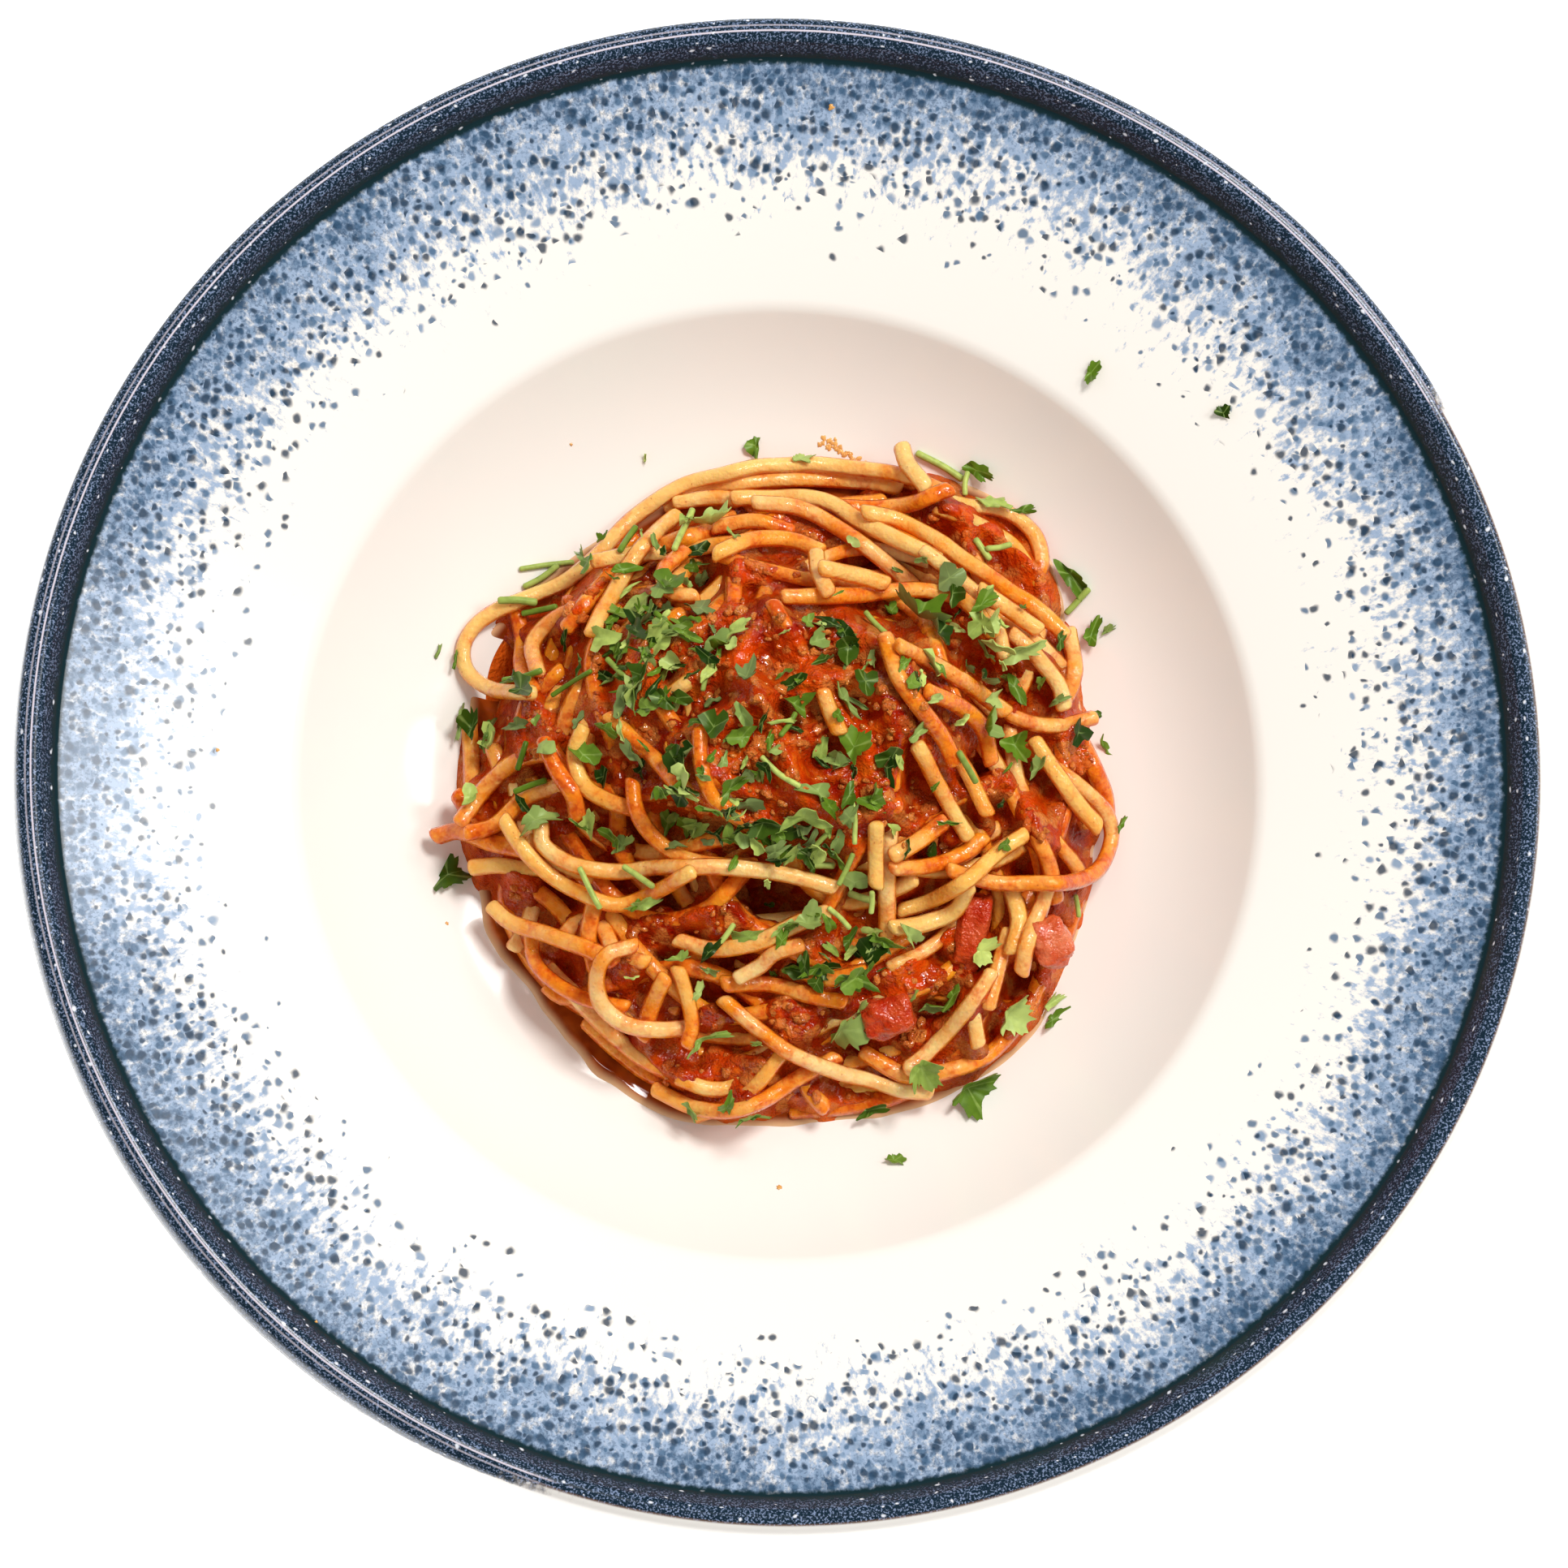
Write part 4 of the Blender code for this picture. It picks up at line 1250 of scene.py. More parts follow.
@dataclass
class MeatSauce:
    """The meat sauce: thick over the crown, in patches lower down, and a film in every gap."""

    ground: Ground
    heap: Heap
    fineness: int = 276

    def surface(self) -> tuple[Array, Array, Array]:
        """Height of the sauce over the whole grid, with its grains.

        The height is the blurred ground, sunk between the strands where there is no patch and
        raised over them where there is, plus two sizes of lump.

        Returns:
            The height, the height of the grains from 0 to 1, and each grain's random number.
        """
        ground = self.ground
        smooth = blurred(ground.heights, 2.4)
        cover = cover_at(ground.x, ground.y, smooth)
        distance, angle = self.heap.polar(ground.x, ground.y)
        edge = self.heap.reach(angle) - distance + 0.8 * soft_noise(ground.x, ground.y, 5.0, 9)
        shallows = np.exp(-((np.mod(angle, 2.0 * math.pi) - 4.0) ** 2) / 0.12)
        inside = ease(0.8, 3.5, edge - 4.5 * shallows) * ease(0.75, 1.25, self.heap.gap(ground.x, ground.y))
        east = ground.x + 1.0 * soft_noise(ground.x, ground.y, 2.3, 31) + 0.4 * soft_noise(ground.x, ground.y, 1.1, 32)
        north = ground.y + 1.0 * soft_noise(ground.x, ground.y, 2.3, 33) + 0.4 * soft_noise(ground.x, ground.y, 1.1, 34)
        coarse, _ = domes(east, north, 6.5, 1)
        grain, kind = domes(east, north, 2.2, 2)
        fine, _ = domes(east, north, 1.2, 3)
        clump = ease(-0.35, 0.35, soft_noise(east, north, 7.0, 35) + 0.4 * soft_noise(east, north, 3.5, 36))
        clump = np.maximum(clump, 0.7 * ease(1.3, 1.05, cover))
        grain, fine = grain * (0.2 + 0.8 * clump), fine * (0.2 + 0.8 * clump)
        heaped, crown = ease(0.0, 0.9, cover), ease(1.02, 1.25, cover)
        tops = blurred(highest(ground.heights, 3), 2.4)
        lumps = (0.45 + 0.85 * crown) * coarse + (0.55 + 0.25 * crown) * grain + 0.4 * fine
        relief = heaped * lumps + (1 - heaped) * (0.5 * grain + 0.2 * fine)
        thin = 0.75 * smooth + 0.25 * tops - 0.95 + 1.2 * soft_noise(ground.x, ground.y, 7.0, 12)
        thick = 0.4 * smooth + 0.6 * tops - 0.6 + 0.8 * cover + 0.45 * crown
        height = thin * (1 - heaped) + thick * heaped + relief
        sunk = height - 5.0 * ease(1.3, 0.5, self.heap.crevice(east, north))
        height = np.maximum(sunk, np.minimum(height, self.heap.filled(ground.x, ground.y) - 4.0))
        floor = self.ground.plate.surface_height(np.hypot(ground.x, ground.y))
        return floor - 0.35 + (height + 0.35 - floor) * inside, grain, kind

    def build(self, height: Array, grain: Array, kind: Array) -> bpy.types.Object:
        """A closed body whose top is the sauce's surface.

        A square grid (u, v) is drawn into a disc, x = u · sqrt(1 - v²/2) and y likewise, and the
        disc is stretched to the heap's outline.
        """
        axis = np.linspace(-1.0, 1.0, self.fineness)
        u, v = np.meshgrid(axis, axis, indexing="ij")
        dx, dy = u * np.sqrt(1.0 - v**2 / 2.0), v * np.sqrt(1.0 - u**2 / 2.0)
        angle = np.arctan2(dy, dx)
        reach = np.hypot(dx, dy) * (self.heap.reach(angle) - 0.4)
        x = (self.heap.centre[0] + reach * np.cos(angle)).ravel()
        y = (self.heap.centre[1] + reach * np.sin(angle)).ravel()
        oily = ease(5.5, 1.0, (self.heap.reach(angle) - reach).ravel() + 1.5 * soft_noise(x, y, 4.0, 41))
        sample = self.ground.sample
        z = sample(x, y, height)
        tops = blurred(highest(self.ground.heights, 3), 2.4)
        # Depth of the sauce under the strand tops round it, away from the oily edge; the shader uses it as painted
        # shade in the gaps.
        deep = ease(0.6, 3.2, sample(x, y, tops) - z) * (1.0 - oily)
        n = self.fineness
        index = np.arange(n * n).reshape(n, n)
        loop = np.concatenate([index[0, :-1], index[:-1, -1], index[-1, :0:-1], index[:0:-1, 0]])
        floor = self.ground.plate.surface_height(np.hypot(x[loop], y[loop])) - 1.0
        low = np.column_stack([x[loop], y[loop], floor])
        base = np.array([[*self.heap.centre, self.ground.plate.floor_height - 1.0]])
        points = np.vstack([np.column_stack([x, y, z]), low, base])
        lower = n * n + np.arange(len(loop))
        skirt = np.stack([loop, np.roll(loop, -1), np.roll(lower, -1), lower], axis=1)
        extra = np.zeros(len(low) + 1)
        return make_object(
            "meat_sauce_spread",
            points,
            [grid_quads(n, n, False)[:, ::-1], skirt, fan(n * n + len(loop), lower, False)],
            {
                "grain": np.concatenate([sample(x, y, grain), extra]),
                "kind": np.concatenate([sample(x, y, kind), extra]),
                "oily": np.concatenate([oily, extra + 1.0]),
                "deep": np.concatenate([deep, extra]),
            },
        )


@dataclass
class Pool:
    """The thin oily sauce that has run out round the heap's foot."""

    plate: Plate
    heap: Heap
    depth: float = 0.9
    rings: int = 36
    turns: int = 300

    def build(self) -> bpy.types.Object:
        """A ring-shaped slab: its top rises from the shore as sqrt(1 - (1 - s)²)."""
        turn = np.linspace(0.0, 2.0 * math.pi, self.turns, endpoint=False)
        low_left = np.exp(-((turn - 4.25) ** 2) / 0.12)
        east, north = 20.0 * np.cos(turn), 20.0 * np.sin(turn)
        ripple = 0.9 * soft_noise(east, north, 5.0, 21) + 0.5 * soft_noise(east, north, 1.7, 22)
        left = np.exp(-((turn - 2.95) ** 2) / 0.25)
        spilt = 1.3 * np.exp(-((turn - 3.60) ** 2) / 0.010) + 1.0 * np.exp(-((turn - 4.12) ** 2) / 0.008)
        shore = self.heap.reach(turn) - 1.0 + 2.6 * low_left - 2.2 * left + ripple + spilt
        share = np.linspace(0.0, 1.0, self.rings)[:, None] ** 1.6
        radius = shore - share * 22.0
        x = self.heap.centre[0] + radius * np.cos(turn)
        y = self.heap.centre[1] + radius * np.sin(turn)
        floor = self.plate.surface_height(np.hypot(x, y))
        inward = np.clip((shore - radius) / 3.0, 0.0, 1.0)
        rise = (self.depth + 0.6) * np.sqrt(1.0 - (1.0 - inward) ** 2) * ease(0.8, 1.3, self.heap.gap(x, y)) - 0.6
        bead = np.exp(-((shore - spilt - radius - 1.1) ** 2) / 0.3) * np.exp(-((turn - 4.0) ** 2) / 0.2)
        rise = rise + 0.26 * bead
        points = np.vstack(
            [
                np.stack([x, y, floor + rise], -1).reshape(-1, 3),
                np.stack([x, y, floor - 1.0], -1)[::-1].reshape(-1, 3),
            ]
        )
        depth = np.concatenate([inward.ravel(), inward[::-1].ravel()])
        rows = 2 * self.rings
        closing = np.stack(
            [
                (rows - 1) * self.turns + np.arange(self.turns),
                (rows - 1) * self.turns + np.roll(np.arange(self.turns), -1),
                np.roll(np.arange(self.turns), -1),
                np.arange(self.turns),
            ],
            axis=1,
        )
        quads = np.vstack([grid_quads(rows, self.turns, True), closing])
        return make_object("sauce_pool_wet", points, [quads], {"depth": depth}, crease=60.0)


@dataclass
class TomatoChunk:
    """A soft cut piece of tomato."""

    number: int
    x: float
    y: float
    halves: tuple[float, float, float]
    turn: float
    sunk: float

    def build(self, ground: Ground) -> bpy.types.Object:
        """A rounded block: each axis of a sphere raised to the power 0.7, then made lumpy."""
        rows, columns = 22, 36
        tall = np.linspace(0.0, math.pi, rows)[1:-1, None]
        turn = np.linspace(0.0, 2.0 * math.pi, columns, endpoint=False)
        round_ = [np.sin(tall) * np.cos(turn), np.sin(tall) * np.sin(turn), np.cos(tall) * np.ones_like(turn)]
        sphere = np.vstack([np.stack(round_, -1).reshape(-1, 3), [[0, 0, 1.0], [0, 0, -1.0]]])
        block = np.sign(sphere) * np.abs(sphere) ** 0.7
        east = 3.0 * sphere[:, 0] + 9.0 * self.number
        north = 3.0 * sphere[:, 1] + 2.0 * sphere[:, 2]
        lump = 1.0 + 0.17 * soft_noise(east, north, 1.3, 8) + 0.06 * soft_noise(east, north, 0.6, 9)
        body = block * np.array(self.halves) * lump[:, None]
        spin = Matrix.Rotation(math.radians(self.turn), 3, "Z") @ Matrix.Rotation(0.3, 3, "X")
        flat = np.array([[self.x, self.y]])
        height = np.array([30.0])
        for _ in range(3):
            place = carried(flat, height)
            height = ground.rest(place[:, 0], place[:, 1], 3.0) - 3.0 + self.sunk
        body = body @ np.array(spin).T + np.array([*place[0], height[0]])
        rings = rows - 2
        last = np.arange(columns) + (rings - 1) * columns
        caps = np.vstack([fan(len(body) - 2, np.arange(columns), False), fan(len(body) - 1, last, True)])
        quads = grid_quads(rings, columns, True)[:, ::-1]
        ground.stamp(place[:, 0], place[:, 1], height, min(self.halves) + 0.6)
        return make_object(f"tomato_piece_{self.number}", body, [quads, caps])


@dataclass
class Crumbs:
    """Loose grains of mince that cling between and on the strands."""

    ground: Ground
    surface: Array
    count: int = 2200

    def build(self) -> bpy.types.Object:
        """Lumpy balls of a few dozen faces, each radius 1 + ripples along its own directions."""
        rng = seeded("crumbs")
        rows, columns = 6, 8
        tall = np.linspace(0.0, math.pi, rows)[1:-1, None]
        turn = np.linspace(0.0, 2.0 * math.pi, columns, endpoint=False)
        ball = np.stack([np.sin(tall) * np.cos(turn), np.sin(tall) * np.sin(turn), np.cos(tall) * np.ones_like(turn)], -1)
        ball = np.vstack([ball.reshape(-1, 3), [[0, 0, 1.0], [0, 0, -1.0]]])
        rings = rows - 2
        caps = np.vstack(
            [
                fan(len(ball) - 2, np.arange(columns), False),
                fan(len(ball) - 1, np.arange(columns) + (rings - 1) * columns, True),
            ]
        )
        quads = grid_quads(rings, columns, True)[:, ::-1]
        pile = MeshPile()
        angle = rng.uniform(0.0, 2.0 * math.pi, self.count)
        away = 57.0 * np.sqrt(rng.uniform(0.0, 1.0, self.count))
        x, y = 1.0 + away * np.cos(angle), away * np.sin(angle)
        base = self.ground.sample(x, y)
        likely = 0.02 + 0.6 * cover_at(x, y, base)
        likely = np.where(base - self.ground.sample(x, y, self.surface) > 0.6, 0.08 * likely, likely)
        for k in np.nonzero(rng.uniform(0.0, 1.0, self.count) < likely)[0]:
            size = 0.35 + 0.75 * rng.uniform() ** 2
            ripple = 1.0 + 0.3 * np.sin(ball @ rng.normal(0.0, 2.4, 3) + rng.uniform(0, 6)) + 0.13 * rng.normal(0, 1, len(ball))
            stretch = rng.uniform(0.65, 1.45, 3) * [1.0, 1.0, 0.8]
            shape = ball * ripple[:, None] * stretch * size
            centre = np.array([x[k], y[k], base[k] - 0.1 * size])
            pile.add(shape + centre, quads, caps, grain=0.9, kind=rng.uniform(0.5, 1.0))
        return pile.build("mince_crumbs")


@dataclass
class Splashes:
    """Small drops of oily sauce on the bare plate."""

    plate: Plate
    specks: tuple[tuple[float, float, float], ...]
    smear: tuple[tuple[float, float], ...]

    def build(self) -> bpy.types.Object:
        """Flat drops: domes of random outline, thickly set along the smear and single elsewhere."""
        rng = seeded("splashes")
        drops = list(self.specks)
        line = through(np.array(self.smear), 0.4)
        for x, y in line:
            drops += [(*(np.array([x, y]) + rng.normal(0.0, 0.55, 2)), rng.uniform(0.18, 0.55)) for _ in range(2)]
        columns, pile = 12, MeshPile()
        turn = np.linspace(0.0, 2.0 * math.pi, columns, endpoint=False)
        caps = np.vstack([fan(3 * columns, np.arange(columns) + 2 * columns, False)])
        for x, y, size in drops:
            outline = size * (1.0 + 0.25 * rng.normal(0.0, 1.0, columns).clip(-1.5, 1.5))
            rings = [(1.0, -0.3), (1.0, 0.02), (0.6, 0.16)]
            ring = [
                np.stack([x + k * outline * np.cos(turn), y + k * outline * np.sin(turn), 0 * turn + z], -1)
                for k, z in rings
            ]
            shape = np.vstack([*ring, [[x, y, 0.2]]])
            shape[:, 2] += self.plate.surface_height(np.hypot(shape[:, 0], shape[:, 1]))
            pile.add(shape, grid_quads(3, columns, True), caps, depth=rng.uniform(0.0, 0.25))
        return pile.build("sauce_splashes")


# ---------------------------------------------------------------------------------------------
# Parsley
# ---------------------------------------------------------------------------------------------


class LeafKind(Enum):
    """How a piece of parsley leaf is cut."""

    WHOLE = "whole"
    TORN = "torn"
    SLIVER = "sliver"


@dataclass(frozen=True)
class Sprig:
    """One piece of parsley: its place as the diner reads it, size, heading in degrees and green."""

    x: float
    y: float
    size: float
    heading: float
    green: float
    kind: LeafKind = LeafKind.TORN


@dataclass
class Parsley:
    """Chopped parsley leaves and stems over the heap."""

    ground: Ground

    def leaf(self, sprig: Sprig, count: int, rings: int, rng: np.random.Generator) -> tuple[Array, Array]:
        """One piece of leaf, lying flat and cut along one or two straight lines.

        The outline is r = size · (1 + broad lobes + small teeth), never beyond a cut, which is
        near / cos(a - cut) away. The blade is narrowed, folded along its rib, curled over and
        waved at the edge.

        Args:
            sprig: The piece wanted.
            count: Number of points round it.
            rings: Number of rings of points.
            rng: Where its chances come from.

        Returns:
            Positions round each ring, then the centre, and how near each is to a rib.
        """
        angle = np.linspace(0.0, 2.0 * math.pi, count, endpoint=False) + rng.uniform(0.0, 6.28)
        wave = np.abs(np.cos(1.5 * (angle - rng.uniform(0.0, 6.28))))
        teeth = (angle * (count / 4.5) / (2.0 * math.pi) + rng.uniform()) % 1.0
        outline = 0.42 + 0.44 * wave**0.9 + 0.24 * teeth + 0.05 * rng.normal(0.0, 1.0, count)
        for number in range(1 if sprig.kind is LeafKind.WHOLE else 2):
            apart = 2.2 * number + rng.uniform(-0.5, 0.5)
            near = rng.uniform(0.3, 0.6)
            facing = np.cos(angle - 2.6 - apart)
            outline = np.where(facing > 0.05, np.minimum(outline, near / np.maximum(facing, 0.05)), outline)
        share = np.linspace(0.0, 1.0, rings + 1)[1:, None]
        narrow = {LeafKind.WHOLE: 0.9, LeafKind.TORN: 0.56, LeafKind.SLIVER: 0.22}[sprig.kind]
        x = 1.15 * share * outline * np.cos(angle)
        y = narrow * share * outline * np.sin(angle)
        fold = rng.uniform(-0.3, 1.1) * np.sqrt(y**2 + 0.01)
        curl = rng.uniform(-0.5, 0.5) * x**2 + rng.uniform(-0.3, 0.9) * y**2
        edge = 0.11 * share**2 * np.sin(angle * 4.0 + rng.uniform(0, 6))
        rib = np.maximum(np.exp(-np.abs(y) / 0.07), wave**10 * np.ones_like(share))
        blade = np.stack([x, y, fold + curl + edge], -1).reshape(-1, 3) * sprig.size
        return np.vstack([blade, [[0.0, 0.0, 0.0]]]), np.append(rib.ravel(), 1.0)

    def add_leaf(
        self, pile: MeshPile, sprig: Sprig, fineness: tuple[int, int], rng: np.random.Generator, smooth: Array
    ) -> None:
        """Lay a leaf on the ground, tilted with it, as a closed blade a quarter of a millimetre thick."""
        count, rows = fineness
        shape, rib = self.leaf(sprig, count, rows, rng)
        flat = np.array([[sprig.x, sprig.y]])
        height = np.array([35.0])
        reach = max(1.0, 0.4 * sprig.size)
        for _ in range(3):
            place = carried(flat, height)
            height = self.ground.rest(place[:, 0], place[:, 1], reach) - reach
        slopes = []
        for dx, dy in ((1.2, 0.0), (0.0, 1.2)):
            ahead = self.ground.sample(place[:, 0] + dx, place[:, 1] + dy, smooth)
            behind = self.ground.sample(place[:, 0] - dx, place[:, 1] - dy, smooth)
            slopes.append(float(ahead[0] - behind[0]) / 2.4)
        lean = Vector((rng.normal(-slopes[0], 0.3), rng.normal(-slopes[1], 0.3), 1.0)).normalized()
        turn = Matrix.Rotation(math.radians(sprig.heading), 3, "Z")
        spin = np.array(Vector((0, 0, 1)).rotation_difference(lean).to_matrix() @ turn)
        up = np.array(lean)
        top = shape @ spin.T + np.array([*place[0], height[0] + 0.4])
        both = np.vstack([top + 0.12 * up, top - 0.12 * up])
        half = len(shape)
        outer = (rows - 1) * count + np.arange(count)
        rim = np.stack([outer, outer + half, np.roll(outer, -1) + half, np.roll(outer, -1)], axis=1)
        middle = rows * count
        caps = np.vstack([fan(middle, np.arange(count), False), fan(middle, np.arange(count), True) + half])
        quads = grid_quads(rows, count, True)[:, ::-1]
        sides = np.vstack([quads, quads[:, ::-1] + half, rim])
        under = np.repeat([0.0, 1.0] if rng.uniform() < 0.75 else [1.0, 0.0], half)
        pile.add(both, sides, caps, tint=sprig.green, rib=np.tile(rib, 2), under=under)

    def add_stem(self, pile: MeshPile, sprig: Sprig, rng: np.random.Generator) -> None:
        """Lay a short stem: a thin rod, a little bent."""
        turn = math.radians(sprig.heading)
        ahead = np.array([math.cos(turn), math.sin(turn)]) * sprig.size / 2
        side = np.array([-ahead[1], ahead[0]]) * rng.uniform(-0.12, 0.12)
        middle = np.array([sprig.x, sprig.y])
        strand = Strand(np.array([middle - ahead, middle + side, middle + ahead]), 0.0, rng.uniform(0.45, 0.72), 60, 7, 0.8)
        line = strand.lay(self.ground)
        add_tube(pile, line, np.full(len(line), strand.radius), 7, tint=sprig.green, rib=0.0, under=0.0)

    def scattered(self, rng: np.random.Generator) -> list[Sprig]:
        """The many small pieces, thick on the crown's left and in a band to the near right."""
        beds = (
            (-24.0, 24.0, 9.0, 12.0, 86),
            (-12.0, 2.0, 14.0, 10.0, 36),
            (3.0, -11.0, 13.0, 5.0, 38),
            (8.0, -33.0, 11.0, 5.0, 22),
            (8.0, 14.0, 20.0, 16.0, 34),
            (30.0, 26.0, 12.0, 12.0, 28),
            (38.0, 4.0, 12.0, 14.0, 16),
            (0.0, 0.0, 36.0, 34.0, 40),
        )
        made = []
        for x, y, wide, deep, count in beds:
            for _ in range(count):
                px, py = x + rng.normal() * wide * 0.75, y + rng.normal() * deep * 0.75
                if math.hypot(px, py) > 55.0:
                    continue
                kind = rng.choice([LeafKind.TORN, LeafKind.TORN, LeafKind.WHOLE, LeafKind.SLIVER])
                green = float(np.clip(rng.normal(0.42, 0.36), 0.0, 1.0))
                made.append(Sprig(px, py, rng.uniform(1.3, 3.6), rng.uniform(0, 360), green, kind))
        return made

    def build(self, leaves: Sequence[Sprig], stems: Sequence[Sprig]) -> list[bpy.types.Object]:
        """One piece for the leaves and one for the stems."""
        rng = seeded("parsley")
        smooth = blurred(self.ground.heights, 4.0)
        stalks, blades = MeshPile(), MeshPile()
        for sprig in stems:
            self.add_stem(stalks, sprig, rng)
        for sprig in self.scattered(rng):
            self.add_leaf(blades, sprig, (18, 2), rng, smooth)
        for sprig in leaves:
            self.add_leaf(blades, sprig, (45, 3), rng, smooth)
        return [blades.build("parsley_leaves", 60.0), stalks.build("parsley_stems")]


W, T, S = LeafKind.WHOLE, LeafKind.TORN, LeafKind.SLIVER
PLACED_LEAVES = (
    Sprig(-4, 61, 3.4, 80, 0.4, T),
    Sprig(4, 58.5, 2.6, 0, 0.8, T),
    Sprig(36, 56.5, 3.6, -30, 0.4, T),
    Sprig(39, 50.5, 3.2, -10, 0.8, W),
    Sprig(44.3, 49, 2.6, 0, 0.3, T),
    Sprig(53, 37.5, 4.6, -50, 0.3, T),
    Sprig(56.5, 26, 3.2, 70, 0.4, T),
    Sprig(59.5, 27, 2.0, 20, 0.4, T),
    Sprig(50.5, 25, 2.2, 60, 0.2, T),
    Sprig(42.5, 23, 4.6, 25, 0.9, T),
    Sprig(50, 14, 2.4, 20, 0.35, T),
    Sprig(42, 6, 3.2, -60, 0.5, W),
    Sprig(46, 1, 2.6, 50, 0.6, T),
    Sprig(58, 11.5, 1.8, 0, 0.2, T),
    Sprig(58.5, 5.5, 3.0, -50, 0.6, S),
    Sprig(61, -8.5, 1.8, 60, 0.4, T),
    Sprig(35.5, -31, 3.0, 20, 1.0, W),
    Sprig(40.5, -42.5, 4.2, 55, 0.95, W),
    Sprig(48, -41, 2.8, 40, 0.9, T),
    Sprig(48.5, -44, 3.4, 30, 0.35, T),
    Sprig(33, -56, 5.0, 20, 0.35, W),
    Sprig(24.5, -52, 4.2, -70, 0.7, W),
    Sprig(15.5, -60, 3.4, 20, 0.25, T),
    Sprig(10.5, -45, 4.2, 60, 0.65, W),
    Sprig(14, -42, 3.0, 50, 0.8, T),
    Sprig(18, -29, 3.6, -30, 0.5, T),
    Sprig(22.5, -28, 3.0, -60, 0.8, T),
    Sprig(4.5, -26, 3.4, -20, 0.7, W),
    Sprig(0, -29, 2.8, 70, 0.5, T),
    Sprig(12, -36, 4.0, -20, 0.3, T),
    Sprig(6, -34, 3.2, 10, 0.45, T),
    Sprig(27, -41, 3.0, -10, 0.5, T),
    Sprig(-15, -38.5, 2.6, 50, 0.8, T),
    Sprig(-13, -34.5, 2.6, -30, 0.4, T),
    Sprig(-18, -32.5, 2.2, 0, 0.7, T),
    Sprig(-14.5, -47, 4.6, 35, 0.65, S),
    Sprig(-10, -59, 2.8, 80, 0.5, T),
    Sprig(-16.5, -59.5, 2.6, -70, 0.55, T),
    Sprig(-6, -60.5, 3.2, 15, 0.3, S),
    Sprig(-4.5, -47.5, 2.8, 0, 0.8, S),
    Sprig(-24.5, -22.5, 3.2, 20, 0.75, T),
    Sprig(-60, -17.5, 3.8, 20, 0.2, W),
    Sprig(-43.5, -7.5, 3.6, 20, 0.6, W),
    Sprig(-34, -8, 3.4, 80, 0.85, T),
    Sprig(-28, -12, 3.4, 10, 0.45, T),
    Sprig(-20, -8, 3.6, 70, 0.55, T),
    Sprig(-9, -2, 4.2, 40, 0.35, T),
    Sprig(-57.5, 11, 4.4, 75, 0.4, S),
    Sprig(-55.5, 9, 4.0, 70, 0.15, T),
    Sprig(-52.8, 7.5, 4.6, 80, 0.25, S),
    Sprig(-47, 9.5, 3.6, -10, 0.1, T),
    Sprig(-46, 16, 4.8, -10, 0.2, T),
    Sprig(-61.5, 23, 2.6, 70, 0.5, S),
    Sprig(-58.5, 21, 2.4, 80, 0.35, S),
    Sprig(-35.5, 40.5, 2.4, -60, 0.4, T),
    Sprig(-32, 43.5, 1.8, 20, 0.45, T),
    Sprig(-12, 46, 3.8, 0, 1.0, W),
    Sprig(-17, 46, 2.8, 60, 0.8, T),
    Sprig(-13, 38, 3.2, 60, 0.4, T),
    Sprig(-8, 26, 3.6, 20, 0.9, T),
    Sprig(13, 5.5, 3.8, 60, 0.5, W),
    Sprig(9.5, 3.5, 3.2, -20, 0.65, T),
    Sprig(11, 14, 4.2, -60, 0.6, S),
    Sprig(24, 8, 3.4, 40, 0.7, T),
    Sprig(25, 29, 5.0, -40, 0.5, W),
    Sprig(36, 31, 4.2, 30, 0.5, T),
    Sprig(16.5, -3, 2.8, 70, 0.35, T),
    Sprig(6.5, -2.5, 4.4, -30, 0.45, T),
    Sprig(4, -7, 4.4, 0, 0.75, T),
    Sprig(-1, -13, 3.2, 30, 0.2, T),
    Sprig(12, -7, 3.4, 60, 0.3, T),
    Sprig(56.5, 73.5, 2.2, 40, 0.45, W),
    Sprig(80, 66, 1.7, 100, 0.1, W),
    Sprig(19.7, -69.1, 2.2, -20, 0.6, T),
    Sprig(-24, 58.5, 1.3, 80, 0.95, S),
)
